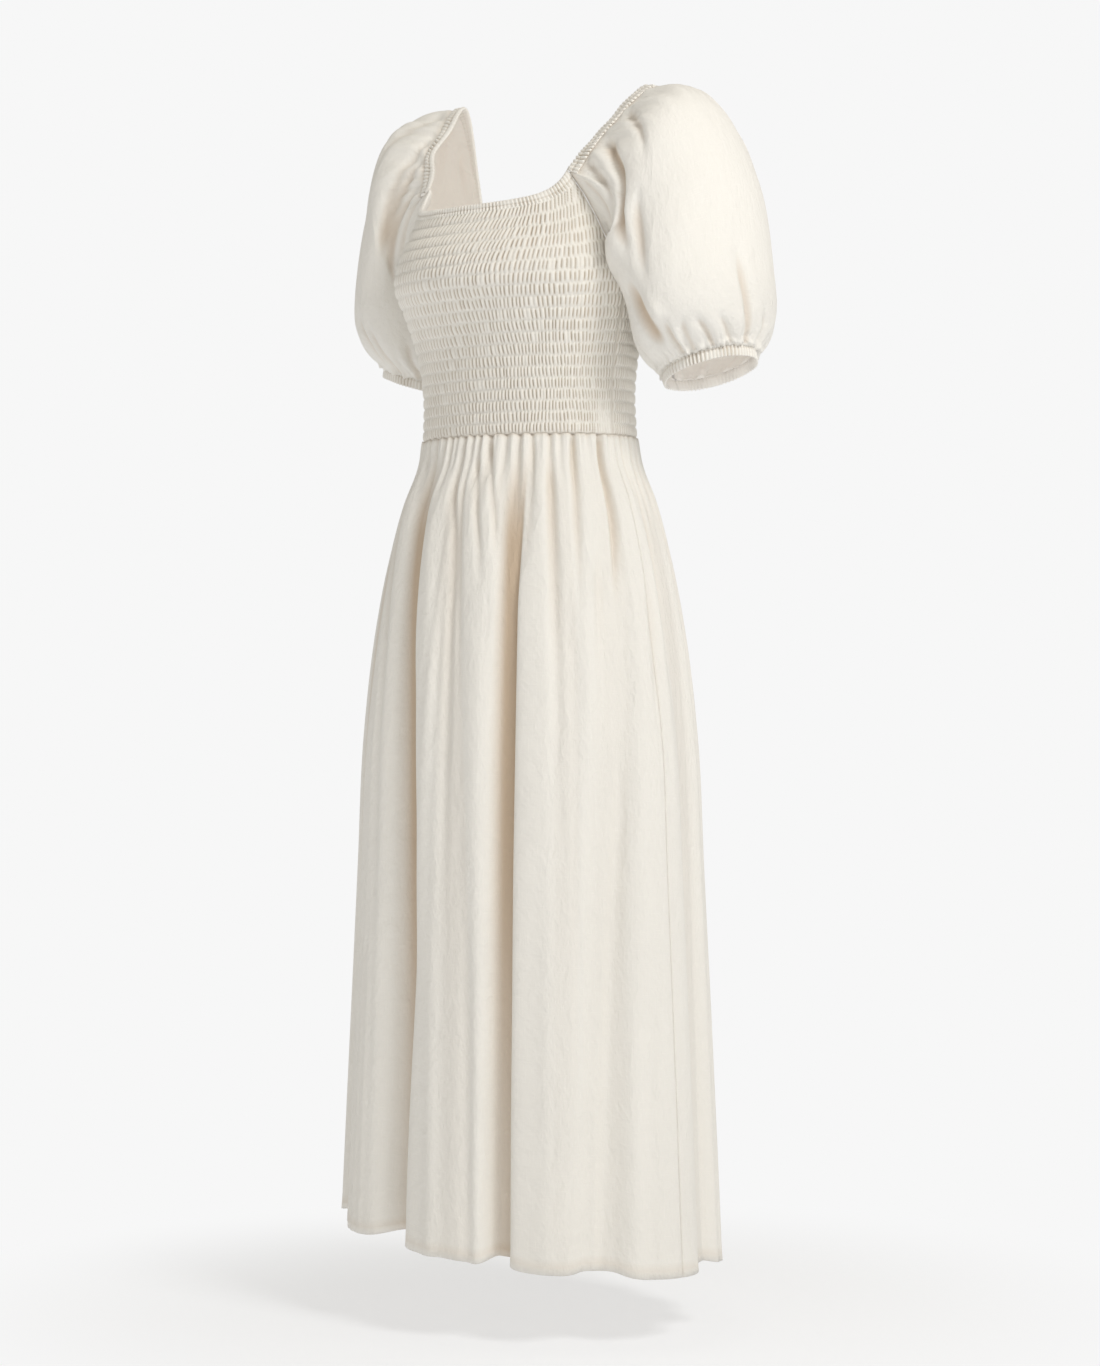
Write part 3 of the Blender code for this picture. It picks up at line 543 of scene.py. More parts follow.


# Skirt at an angle and a share of the way down: the body's ellipse, moved in by flat-bottomed folds and out on
# the crests, each fold's edge swung over its valley. It also gives the painted shade of the fold valleys there.
def onSkirt(angle, down):
    growth = foldGrowth(down)
    swingGrowth = softStep(0.01, 0.22, down) * (0.75 + 0.25 * softStep(0.3, 0.9, down))
    offset = np.zeros(angle.shape)
    swing = np.zeros(angle.shape)
    foldShade = np.zeros(angle.shape)
    for waist, third, hemAngle, halfWidth, depth, lean, foldShadeShare in longFolds:
        centre = curveThrough([0, 0.33, 1], [waist, third, hemAngle], down)
        t = angleFrom(centre, angle) / halfWidth
        offset = offset - depth * growth / (1 + 1.5 * np.abs(t)**5)
        edgeward = -t if lean > 0 else t
        # painted shade on the floor of each fold's valley, scaled by the fold's shade share
        floorShare = softStep(-1.0, -0.2, edgeward) * (1 - softStep(0.6, 0.85, edgeward))
        foldShadeHere = floorShare * foldShadeShare * softStep(0.01, 0.14, down) * (1 - 0.5 * softStep(0.45, 0.95, down))
        foldShade = np.maximum(foldShade, foldShadeHere)
        swing = swing + lean * swingGrowth * bell(t - (1.0 if lean < 0 else -1.0), 0.42)
    hem = skirt["hem"] - skirt["hemTilt"] * np.sin(np.radians(angle))
    height = (hem - skirt["hemLift"] * offset * down**3) * down
    base = onBody(skirtSections, angle + swing, height)
    outward = base * [1, 1, 0]
    outward = outward / np.linalg.norm(outward, axis=-1, keepdims=True)
    return base + outward * (offset + skirt["crest"] * growth)[..., None], foldShade


# Tucks where the skirt is gathered into the waist seam: angle, depth, share of the length, half width
waistTucks = [
    (-30.5, 0.3, 0.1, 1.6), (-22.5, 0.42, 0.22, 1.7), (-14.5, 0.34, 0.1, 1.5), (-9, 0.28, 0.16, 1.3),
    (-5.5, 0.22, 0.06, 1), (-0.5, 0.38, 0.2, 1.6), (5, 0.26, 0.09, 1.3), (9, 0.3, 0.14, 1.3),
    (15, 0.4, 0.12, 1.6), (23.5, 0.34, 0.19, 1.6), (30.5, 0.42, 0.16, 1.5), (37, 0.3, 0.1, 1.4),
    (46.5, 0.36, 0.24, 1.6), (51.5, 0.26, 0.08, 1.2), (59, 0.34, 0.16, 1.6), (67.5, 0.18, 0.05, 1.2),
    (75.5, 0.4, 0.26, 1.8), (83, 0.2, 0.08, 1.4),
]
hiddenTucks = np.random.default_rng(5)
for tuckAngle in np.arange(91.0, 327.0, 6.1):
    waistTucks.append((tuckAngle + hiddenTucks.uniform(-1.6, 1.6), hiddenTucks.uniform(0.2, 0.42),
                       hiddenTucks.uniform(0.05, 0.24), hiddenTucks.uniform(1.1, 1.8)))

# Softer folds of the visible and the hidden sides, shares being of the way down
softFolds = [
    ([(-3, 0.03), (4, 0.12), (7, 0.25), (8, 0.45), (8, 0.62)], 0.45, 1.9, 0.1, 0.5),
    ([(4, 0.04), (8.5, 0.155), (11, 0.27), (12, 0.36)], 0.3, 1.5, 0.1, 0.6),
    ([(9, 0.02), (13.5, 0.09), (17, 0.15), (18.5, 0.22)], 0.42, 1.7, 0.1, 0.6),
    ([(14, 0), (19, 0.06), (23, 0.12), (24, 0.18)], 0.4, 1.6, 0.1, 0.6),
    ([(-12, 0.03), (-7, 0.12), (0, 0.3), (1, 0.5)], -0.25, 2.5, 0.2, 0.6),
    ([(-4, 0.42), (0, 0.62), (2, 0.82), (3, 1)], 0.4, 2.4, 0.5, 0),
    ([(16, 0.5), (17, 0.7), (18, 1)], 0.3, 2.2, 0.5, 0),
    ([(38, 0), (38, 0.1), (37, 0.22)], 0.3, 1.8, 0.1, 0.6),
    ([(46.5, 0.02), (46, 0.15), (46, 0.32), (45, 0.48)], 0.45, 2.2, 0.1, 0.6),
    ([(59.5, 0), (57, 0.084), (56, 0.16), (55, 0.24)], 0.5, 2, 0.05, 0.6),
    ([(50, 0.16), (52, 0.3), (53, 0.46)], 0.22, 3, 0.4, 0.6),
    ([(76, 0), (75.5, 0.105), (72.5, 0.18), (71, 0.24)], 0.65, 1.8, 0.05, 0.5),
    ([(66, 0.1), (64, 0.2), (62, 0.34)], 0.3, 2.6, 0.4, 0.6),
    ([(71, 0.3), (68.5, 0.46), (64.5, 0.66), (60, 1)], 0.45, 2.6, 0.3, 0),
    ([(88, 0.14), (86.5, 0.23), (84.5, 0.33), (83, 0.45)], 0.4, 2.2, 0.3, 0.6),
    ([(40, 0.45), (39, 0.7), (38, 1)], 0.35, 2.8, 0.5, 0),
    ([(78, 0.55), (76, 0.78), (75, 1)], 0.35, 3, 0.5, 0),
    ([(-42, 0.02), (-34, 0.155), (-28, 0.26), (-25, 0.41), (-24, 0.75)], 0.4, 1.8, 0.1, 0.5),
    ([(-52, 0), (-43, 0.2), (-38, 0.5), (-36, 1)], 0.5, 2.4, 0.1, 0),
    ([(-68, 0), (-64, 0.3), (-62, 1)], 0.55, 3.2, 0.1, 0),
    ([(96, 0.04), (95, 0.2), (94, 0.46)], 0.35, 2.2, 0.2, 0.6),
    ([(115, 0), (116, 0.3), (117, 0.7)], 0.5, 2.6, 0.1, 0.6),
    ([(133, 0.02), (133, 0.12), (134, 0.3)], 0.4, 1.8, 0.1, 0.6),
    ([(139, 0.12), (140, 0.4), (141, 1)], 0.45, 2.8, 0.3, 0),
    ([(164, 0), (165, 0.35), (166, 0.8)], 0.5, 2.4, 0.1, 0.5),
    ([(172, 0.05), (171, 0.16), (171, 0.34)], 0.35, 1.7, 0.2, 0.6),
    ([(191, 0), (190, 0.5), (190, 1)], 0.4, 2.8, 0.2, 0),
    ([(200, 0.02), (199, 0.12), (198, 0.25)], 0.4, 1.8, 0.1, 0.6),
    ([(218, 0), (217, 0.25), (217, 0.55)], 0.5, 2.2, 0.1, 0.7),
    ([(243, 0.1), (243, 0.5), (242, 1)], 0.45, 3, 0.4, 0),
    ([(249, 0), (248, 0.13), (248, 0.28)], 0.4, 1.8, 0.1, 0.6),
    ([(268, 0), (269, 0.3), (270, 0.9)], 0.5, 2.6, 0.1, 0.4),
    ([(296, 0), (297, 0.4), (298, 1)], 0.5, 3, 0.1, 0),
    ([(320, 0.04), (322, 0.2), (323, 0.5)], 0.4, 2.2, 0.2, 0.6),
]


# A skirt panel from one side seam to the other, its rows closer together towards the waist
def buildSkirtPanel(name, node, start, end):
    down, angle = shareGrid(skirt["rowSteps"], np.linspace(start, end, skirt["columnSteps"] + 1))
    down = down + skirt["crowding"] * np.sin(np.pi * down) * (down - 1)
    base, foldShade = onSkirt(angle, down)
    normal = gridNormals(base, base * [1, 1, 0])
    rise = creaseHeights(softFolds, angle, down)
    for tuckAngle, depth, length, width in waistTucks:
        away = angleFrom(tuckAngle, angle)
        fading = 1 - softStep(0, 1, down / length)
        rise = rise - depth * bell(away, width * (1 + 2.5 * down / 0.2)) * fading
        rise = rise + 0.35 * depth * bell(np.abs(away) - 1.8 * width, width) * fading
    radians = np.radians(angle)
    pleats = radians * 97 + 2.6 * np.sin(radians * 23) + 1.7 * np.sin(radians * 41)
    rise = rise + skirt["gatherRise"] * np.cos(pleats) * (1 - softStep(0.0, 0.045, down))
    streaks = skirt["broadStreak"] * np.sin(radians * 43 + 2.1 * np.sin(radians * 9) + 1.3 * down)
    streaks = streaks + skirt["narrowStreak"] * np.sin(radians * 71 + 2.7 * np.sin(radians * 13) - 2 * down)
    strength = (0.6 + 0.4 * np.sin(radians * 5 + 4 * down)) * (1 - 0.5 * bell(angle - 60, 30))
    rise = rise + streaks * softStep(0.05, 0.3, down) * strength
    fromHem = (1 - down) * abs(skirt["hem"])
    hemTurn = skirt["hemTurn"]
    rise = rise + skirt["hemExtra"] * (1 - softStep(hemTurn - 0.12, hemTurn, fromHem))
    rise = rise - 0.03 * bell(fromHem - hemTurn, 0.12)
    atSide = bell(np.minimum(angle - start, end - angle), 0.5)
    atWaist = bell(down, 0.003)
    rise = rise - skirt["seamDip"] * (atSide + atWaist)
    # painted shade in the fold valleys and the waist tucks, with darker lines along the seams and at the hem
    # turn
    paintedShade = foldShade + 0.12 * atSide + 0.3 * atWaist + 0.25 * bell(fromHem - hemTurn, 0.15)
    tuckShade = np.clip((-rise - 0.1) / 0.55, 0, 1) * (1 - softStep(0.1, 0.35, down))
    paintedShade = paintedShade + skirt["tuckShadeShare"] * tuckShade
    place = np.stack([angle / 360 * skirt["mapRound"], down * skirt["mapLength"]], axis=-1)
    inner = base[::2, ::2] + normal[::2, ::2] * underside(rise, skirt["cloth"])
    piece = clothShell(name, base + normal * rise[..., None], inner, False, place, paintedShade, skirtLinen)
    declare(piece, node)


buildSkirtPanel("skirtFront", "skirt_front", -skirt["sideSeam"], skirt["sideSeam"])
buildSkirtPanel("skirtBack", "skirt_back", skirt["sideSeam"], 360 - skirt["sideSeam"])
print("skirt made")


# Sleeves

sleeveForm = {
    "frontCorner": 82.5, "backCorner": 285.0, "underarmFront": 0.68, "underarmBack": 0.745, "fullness": 0.6,
    "neckEdge": [(11.3, -1.3, 31.4), (13.3, 4.0, 36.6), (13.5, 6.0, 29.6)], "edgeMiddle": [14.0, 2.0, 27.0],
    "seamClear": -0.05, "sleeveClear": 0.5, "cloth": 0.10, "columnSteps": 264, "rowSteps": 112,
    "lowest": -0.03, "seamDip": 0.05, "mapRound": 0.52, "mapLength": 0.33,
}
# Share of the length, middle of the ring, its size along the raised axis and along Y, and that axis's tilt
sleeveRings = np.array([
    [0.14, 17.2, 3.5, 25.8, 10.4, 8.0, 76], [0.36, 19.3, 4.5, 21.0, 8.6, 9.0, 51],
    [0.56, 20.3, 4.6, 14.9, 6.7, 9.3, 24], [0.75, 20.5, 5.0, 10.8, 6.6, 8.7, 19],
    [0.90, 20.6, 5.3, 8.5, 5.9, 7.0, 18], [1.00, 20.6, 5.4, 7.3, 4.9, 4.9, 18],
])
sleeveKnots = np.concatenate([[0.0], sleeveRings[:, 0]])


# Armhole seam and neck edge of the left sleeve, turn being degrees round from the underarm
def sleeveEdge(turn):
    frontUp = np.linspace(sleeveForm["underarmFront"], 1, 9)
    backUp = np.linspace(sleeveForm["underarmBack"], 1, 9)
    front = onPanel(bodiceFront, np.ones(9), frontUp)
    back = onPanel(bodiceBack, -np.ones(9), backUp)
    neck = np.vstack([front[-1:], sleeveForm["neckEdge"], back[-1:]])
    frontCorner, backCorner = sleeveForm["frontCorner"], sleeveForm["backCorner"]
    onFront = curveThrough(np.linspace(0, frontCorner, 9), front, turn)
    onNeck = curveThrough(np.linspace(frontCorner, backCorner, len(neck)), neck, turn)
    onBack = curveThrough(np.linspace(backCorner, 360, 9), back[::-1], turn)
    turn = turn[..., None]
    return np.where(turn < frontCorner, onFront, np.where(turn <= backCorner, onNeck, onBack))


# Ring of the sleeve: an ellipse whose raised axis leans out and up by its tilt
def sleeveRing(ring, turn):
    angle = np.radians(turn)[..., None]
    tilt = np.radians(ring[6])
    raised = np.array([np.cos(tilt), 0, np.sin(tilt)])
    return ring[1:4] - raised * ring[4] * np.cos(angle) - np.array([0, 1, 0]) * ring[5] * np.sin(angle)


# 1 in the sleeve's neck edge and 0 in its armhole seam, changing at those distances from the two corners
def neckPart(turn, before, after, backBefore, backAfter):
    front, back = sleeveForm["frontCorner"], sleeveForm["backCorner"]
    pastFront = softStep(front - before, front + after, turn)
    return pastFront * (1 - softStep(back - backBefore, back + backAfter, turn))


# Each lengthwise line is a smooth curve from the edge through the rings to the cuff, kept clear of the bodice
def onSleeve(turn, along):
    shape = turn.shape
    turn = turn.ravel() % 360
    along = np.broadcast_to(along, shape).ravel()
    inSeam = 1 - neckPart(turn, 5.5, 2.5, 2, 6)
    knots = sleeveKnots
    lines = np.stack([sleeveEdge(turn)] + [sleeveRing(ring, turn) for ring in sleeveRings])
    slopes = np.gradient(lines, knots, axis=0)
    away = lines[0] * [1, 1, 0]
    away = away / np.linalg.norm(away, axis=-1, keepdims=True)
    steepness = np.linalg.norm(slopes[0], axis=-1, keepdims=True)
    slopes[0] += away * inSeam[:, None] * sleeveForm["fullness"] * steepness
    cell = np.clip(np.searchsorted(knots, along, side="right") - 1, 0, len(knots) - 2)
    width = (knots[cell + 1] - knots[cell])[:, None]
    t = (along - knots[cell])[:, None] / width
    pick = np.arange(len(turn))
    far = (cell + 1, pick)
    point = cubicPiece(t, width, lines[cell, pick], slopes[cell, pick], lines[far], slopes[far])
    seamClear, sleeveClear = sleeveForm["seamClear"], sleeveForm["sleeveClear"]
    clear = seamClear + (sleeveClear - seamClear) * softStep(0, 0.05, along)
    size = curveThrough(bodiceSections[:, 0], bodiceSections[:, 1:], point[:, 2])
    depth = np.where(point[:, 1] < 0, size[:, 1], size[:, 2])
    flat = np.hypot(point[:, 0], point[:, 1])
    body = flat / np.hypot(point[:, 0] / size[:, 0], point[:, 1] / depth)
    weight = np.maximum(inSeam, 1 - softStep(22, 25, point[:, 2]))
    push = weight * np.clip(clear - (flat - body), 0, None) / flat
    point = point * np.stack([1 + push, 1 + push, np.ones(len(push))], axis=-1)
    return point.reshape(shape + (3,))


# Share of the sleeve's length at a distance from its edge, over the first stretch
def sleeveShare(turn, distance):
    run = np.linalg.norm(sleeveRing(sleeveRings[0], turn) - sleeveEdge(turn), axis=-1)
    return sleeveRings[0, 0] * distance / run


# Middle line of the sleeve, which tells inside from outside
def sleeveMiddle(along):
    return curveThrough(sleeveKnots, np.vstack([sleeveForm["edgeMiddle"], sleeveRings[:, 1:4]]), along)


# Left form set on either side, lifted at shoulder and cuff, and bulging beside the front neck corner
def onSide(points, sleeve):
    height = points[..., 2]
    lift = sleeve["shoulderLift"] * softStep(27, 36, height)
    lift = lift + sleeve["cuffLift"] * (1 - softStep(6, 17, height))
    fromNeck = np.linalg.norm(points - sleeveForm["neckEdge"][0], axis=-1)
    bulge = sleeve["neckBulge"] * bell(fromNeck, 2.4)
    return (points + np.stack([bulge, -0.3 * bulge, lift], axis=-1)) * [sleeve["side"], 1, 1]


# Folds of each sleeve, angles being degrees round from the underarm
leftFolds = [
    ([(146, 0.04), (123, 0.13), (114, 0.19), (109, 0.25)], 0.6, 4, 0.1, 0.6),
    ([(121, 0.03), (96, 0.118), (80, 0.196), (78, 0.327), (81, 0.5)], 1, 5, 0.1, 0.55),
    ([(106, 0.03), (92, 0.1), (85, 0.16), (82, 0.22)], -0.3, 5, 0.1, 0.5),
    ([(96, 0.03), (85, 0.079), (76, 0.13), (73, 0.17)], 0.55, 4.2, 0.1, 0.6),
    ([(76, 0.01), (67, 0.08), (60, 0.16), (58, 0.21)], 0.45, 4.5, 0.1, 0.6),
    ([(170, 0.05), (160, 0.12), (155, 0.22)], 0.15, 6, 0.1, 0.7),
    ([(165, 0.3), (147, 0.44), (133, 0.58), (128, 0.7)], 0.12, 9, 0.4, 0.5),
    ([(66, 0.45), (72, 0.571), (84, 0.756), (89, 0.94)], 0.95, 9, 0.35, 0.25),
    ([(97, 0.22), (93, 0.35), (92, 0.48), (95, 0.62)], 0.6, 6, 0.4, 0.5),
    ([(90, 0.6), (97, 0.7), (101, 0.8)], -0.4, 6, 0.5, 0.4),
    ([(104, 0.72), (103, 0.86), (102, 0.98)], 0.55, 3.5, 0.5, 0),
    ([(121, 0.74), (118, 0.83), (116, 0.98)], 0.5, 4.2, 0.5, 0),
    ([(129, 0.76), (133, 0.83), (138, 0.98)], 0.55, 4.2, 0.5, 0),
    ([(148, 0.76), (153, 0.85), (159, 0.98)], 0.45, 4, 0.5, 0),
    ([(171, 0.46), (174, 0.6), (177, 0.75), (182, 0.98)], 0.6, 5, 0.35, 0),
    ([(196, 0.7), (200, 0.85), (203, 0.98)], 0.45, 4.5, 0.5, 0),
    ([(206, 0.06), (212, 0.2), (214, 0.36)], 0.55, 7, 0.1, 0.6),
    ([(231, 0.05), (236, 0.16), (238, 0.3)], 0.7, 6.5, 0.1, 0.6),
    ([(255, 0.04), (258, 0.14), (258, 0.26)], 0.5, 5.5, 0.1, 0.6),
    ([(226, 0.66), (229, 0.82), (230, 0.98)], 0.5, 5, 0.5, 0),
    ([(252, 0.55), (256, 0.75), (258, 0.98)], 0.55, 5.5, 0.4, 0),
    ([(281, 0.6), (285, 0.8), (287, 0.98)], 0.45, 5, 0.4, 0),
    ([(310, 0.55), (318, 0.75), (322, 0.98)], 0.5, 5.5, 0.4, 0),
    ([(345, 0.6), (349, 0.8), (350, 0.98)], 0.4, 5, 0.4, 0),
    ([(20, 0.55), (26, 0.75), (30, 0.98)], 0.45, 5.5, 0.4, 0),
    ([(50, 0.62), (54, 0.8), (56, 0.98)], 0.4, 4.5, 0.4, 0),
]
rightFolds = [
    ([(153, 0.03), (130, 0.06), (109, 0.1), (92, 0.16), (84, 0.28)], 0.45, 7, 0.1, 0.6),
    ([(129, 0.03), (107, 0.069), (88, 0.13), (82, 0.264), (80, 0.42)], 0.6, 7.5, 0.1, 0.6),
    ([(106, 0.03), (90, 0.064), (77, 0.132), (67, 0.332), (63, 0.5)], 0.6, 6.5, 0.1, 0.55),
    ([(84, 0.01), (75, 0.05), (64, 0.12), (55, 0.24)], 0.45, 5, 0.1, 0.6),
    ([(172, 0.04), (150, 0.1), (132, 0.18), (120, 0.3)], 0.4, 8, 0.1, 0.6),
    ([(108, 0.52), (104, 0.62), (97, 0.74), (91, 0.95)], 0.5, 5, 0.4, 0.1),
    ([(90, 0.56), (87, 0.66), (82, 0.82), (80, 0.98)], 0.45, 4.5, 0.4, 0),
    ([(120, 0.66), (119, 0.82), (118, 0.98)], 0.45, 4.5, 0.5, 0),
    ([(139, 0.7), (141, 0.84), (142, 0.98)], 0.5, 4.5, 0.5, 0),
    ([(163, 0.6), (166, 0.78), (168, 0.98)], 0.45, 5, 0.5, 0),
    ([(190, 0.66), (192, 0.82), (193, 0.98)], 0.5, 5, 0.5, 0),
    ([(200, 0.05), (208, 0.18), (212, 0.36)], 0.6, 7, 0.1, 0.6),
    ([(226, 0.05), (232, 0.16), (236, 0.32)], 0.6, 6.5, 0.1, 0.6),
    ([(250, 0.04), (254, 0.15), (256, 0.28)], 0.6, 5.5, 0.1, 0.6),
    ([(218, 0.62), (222, 0.8), (224, 0.98)], 0.5, 5, 0.5, 0),
    ([(246, 0.58), (250, 0.76), (251, 0.98)], 0.5, 5.5, 0.4, 0),
    ([(276, 0.62), (279, 0.8), (280, 0.98)], 0.45, 5, 0.4, 0),
    ([(305, 0.56), (311, 0.76), (314, 0.98)], 0.5, 5.5, 0.4, 0),
    ([(340, 0.6), (344, 0.8), (345, 0.98)], 0.4, 5, 0.4, 0),
    ([(15, 0.58), (20, 0.76), (22, 0.98)], 0.45, 5.5, 0.4, 0),
    ([(47, 0.6), (52, 0.8), (54, 0.98)], 0.45, 5, 0.4, 0),
]
sleeves = [
    {"name": "Left", "side": 1.0, "shoulderLift": 0.0, "cuffLift": 0.0, "seed": 3.0, "folds": leftFolds,
     "smoothRoll": 0.0, "neckBulge": 0.0, "frontSwell": 2.1},
    {"name": "Right", "side": -1.0, "shoulderLift": 1.0, "cuffLift": 1.3, "seed": 7.0, "folds": rightFolds,
     "smoothRoll": 1.0, "neckBulge": 1.2, "frontSwell": 0.0},
]
casing = {
    "flat": (0.27, 0.0135), "width": 1.35, "steps": 640, "crossSteps": 16, "ruchePitch": 0.46,
    "rucheRise": 0.15, "strip": 0.16, "roll": 0.17, "stitchAt": 0.5, "cloth": 0.28, "mapStretch": 0.014,
}
cuff = {
    "flat": (0.36, 0.013), "depth": 1.0, "drop": 0.11, "tuckedIn": 0.15, "steps": 440, "crossSteps": 12,
    "ruchePitch": 0.42, "rucheRise": 0.14, "wall": 0.24, "stitchAt": 0.2,
}


# A sleeve from its armhole seam and neck casing down to the cuff, gathered at both ends
def buildSleeve(sleeve):
    turn = np.arange(sleeveForm["columnSteps"]) * 360 / sleeveForm["columnSteps"]
    start = sleeveShare(turn, 0.02 + (casing["width"] - 0.08) * neckPart(turn, 2, 1, 1, 2))
    share, turn = shareGrid(sleeveForm["rowSteps"], turn)
    along = start + (1 - start) * (0.75 * share + 0.25 * share * share * (3 - 2 * share))
    base = onSleeve(turn, along)
    outward = base - sleeveMiddle(along)
    normal = gridNormals(base, outward, True)
    dip = creaseHeights(sleeve["folds"], turn, along)
    swelling = bell(turn - 60, 28) * bell(along - 0.27, 0.19) * softStep(0.0, 0.2, along - start)
    rise = dip + sleeve["frontSwell"] * swelling
    atNeck = neckPart(turn, 22.5, 17.5, 15, 15)
    seed = sleeve["seed"]
    radians = np.radians(turn)
    fromEdge = along - start
    neckWave = 0.14 * np.cos(radians * 31 + 2.2 * np.sin(radians * 7 + seed))
    neckWave = neckWave + 0.14 * np.cos(radians * 16 + seed + np.sin(radians * 5))
    rise = rise + neckWave * atNeck * softStep(0, 0.02, fromEdge) * (1 - softStep(0.03, 0.2, fromEdge))
    cuffWave = 0.10 * np.cos(radians * 52 + 2.5 * np.sin(radians * 9 + seed))
    broadWave = 0.13 * np.cos(radians * 19 + seed + 2.2 * np.sin(radians * 5 + seed))
    rise = rise + cuffWave * softStep(0.86, 0.97, along)
    rise = rise + broadWave * softStep(0.70, 0.93, along) * (1 - 0.6 * softStep(0.94, 1, along))
    hanging = 0.75 + 0.35 * np.cos(radians * 37 + 2.1 * np.sin(radians * 8 + seed))
    rise = rise + 0.42 * hanging * bell(along - 0.972, 0.016)
    rise = np.maximum(rise, sleeveForm["lowest"] - 12 * (1 - along))
    seamEdge = bell(fromEdge, 0.012)
    rise = rise - sleeveForm["seamDip"] * seamEdge
    # painted shade in the sleeve's creases, with a darker line along its seam
    paintedShade = 0.85 * np.clip((-dip - 0.25) / 0.7, 0, 1) + 0.35 * seamEdge
    place = np.stack([turn / 360 * sleeveForm["mapRound"], along * sleeveForm["mapLength"]], axis=-1)
    inner = base[::2, ::2] + normal[::2, ::2] * underside(rise, sleeveForm["cloth"], True)
    outer = base + normal * rise[..., None]
    piece = clothShell("sleeve" + sleeve["name"], onSide(outer, sleeve), onSide(inner, sleeve),
                       True, place, paintedShade, sleeveLinen)
    declare(piece, "sleeve_" + sleeve["name"].lower())


# Elastic casing along a sleeve's neck edge, from its front corner over the shoulder to its back corner
def buildCasing(sleeve):
    turn = np.linspace(sleeveForm["frontCorner"], sleeveForm["backCorner"], casing["steps"] + 1)
    share, turn = shareGrid(casing["crossSteps"], turn)
    along = sleeveShare(turn, (1 - share) * casing["width"])
    base = onSleeve(turn, along)
    normal = gridNormals(base, base - sleeveMiddle(along))
    length = lengthAlong(base)
    smooth = 1 - 0.85 * sleeve["smoothRoll"] * (share > casing["stitchAt"])
    ruche = ruching(length, share, casing, sleeve["seed"]) * smooth
    outerRise = casingRise(share, casing) + ruche
    innerRise = 0.3 * ruche - casing["cloth"] * (1 - 0.7 * share**6) + 0.1
    # painted shade along the stitch groove and in the troughs of the ruching
    paintedShade = 0.5 * bell(share - casing["stitchAt"], 0.05)
    paintedShade = paintedShade + 0.9 * np.clip(-ruche / casing["rucheRise"], 0, 1)
    place = np.stack([length * casing["mapStretch"], share * 0.01], axis=-1)
    outer = base + normal * outerRise[..., None]
    inner = (base + normal * innerRise[..., None])[::2, ::2]
    piece = clothShell("neckCasing" + sleeve["name"], onSide(outer, sleeve), onSide(inner, sleeve),
                       False, place, paintedShade.clip(0, 1) * casingShadeShare, elasticEdge)
    declare(piece, "neck_casing_" + sleeve["name"].lower())


# Last ring of the sleeve carried on along the cuff's axis, its wall rounded and ruched right through
def buildCuff(sleeve):
    share, turn = shareGrid(cuff["crossSteps"], np.arange(cuff["steps"]) * 360 / cuff["steps"])
    ring = sleeveRings[-1]
    tilt = np.radians(ring[6])
    axis = np.array([np.sin(tilt), 0, -np.cos(tilt)])
    edge = sleeveRing(ring, turn)
    outward = edge - ring[1:4]
    outward = outward / np.linalg.norm(outward, axis=-1, keepdims=True)
    down = cuff["drop"] - cuff["tuckedIn"] + share * (cuff["depth"] + cuff["tuckedIn"])
    base = edge + axis * down[..., None]
    length = np.radians(turn) * ring[5]
    ruche = ruching(length, share, cuff, sleeve["seed"])
    stitch = bell(share - cuff["stitchAt"], 0.05)
    profile = np.sin(np.pi * (0.12 + 0.76 * share)) * cuff["wall"] / 2 - 0.05 * stitch
    base = base + axis * (0.3 * ruche * share)[..., None]
    outer = base + outward * (profile + ruche)[..., None]
    inner = base + outward * (0.8 * ruche - profile)[..., None]
    # painted shade in the troughs of the ruching and along the stitching
    paintedShade = 0.9 * np.clip(-ruche / cuff["rucheRise"], 0, 1) + 0.5 * stitch
    place = np.stack([turn / 360 * 0.4, share * 0.012], axis=-1)
    piece = clothShell("cuff" + sleeve["name"], onSide(outer, sleeve), onSide(inner[::2, ::2], sleeve),
                       True, place, paintedShade.clip(0, 1) * casingShadeShare, elasticEdge)
    declare(piece, "cuff_" + sleeve["name"].lower())


for sleeve in sleeves:
    buildSleeve(sleeve)
    buildCasing(sleeve)
    buildCuff(sleeve)
print("sleeves made")


# Floor, light and camera

studio = {
    "paper": (0.93, 0.93, 0.93, 1.0), "skyColour": (1.0, 0.955, 0.87, 1.0), "skyLight": 0.46,
    "floorColour": (0.4606, 0.47, 0.4888, 1.0), "floorGlow": 0.52, "floorHalf": 40.0, "floorDrop": 0.068,
    "fadeFrom": 0.25, "fadeTo": 0.75,
}
# Lamps stand at metres from the dress's middle: towards the camera, to its right and up
lamps = [
    {"name": "keyLight", "at": (2.3, 1.75, 2.6), "size": 1.3, "power": 64.0, "colour": (1.0, 0.99, 0.97)},
    {"name": "fillLight", "at": (2.8, 0.3, -0.1), "size": 1.8, "power": 6.5, "colour": (1.0, 0.99, 0.98)},
]
cameraPlace = {"angle": 43.0, "distance": 3.5, "height": -0.625, "aside": 0.0225, "lens": 86.24}
dressMiddle = np.array([0.0, -0.04, -0.60])
cameraAngle = math.radians(cameraPlace["angle"])
toCamera = np.array([math.sin(cameraAngle), -math.cos(cameraAngle), 0.0])
toRight = np.array([math.cos(cameraAngle), math.sin(cameraAngle), 0.0])


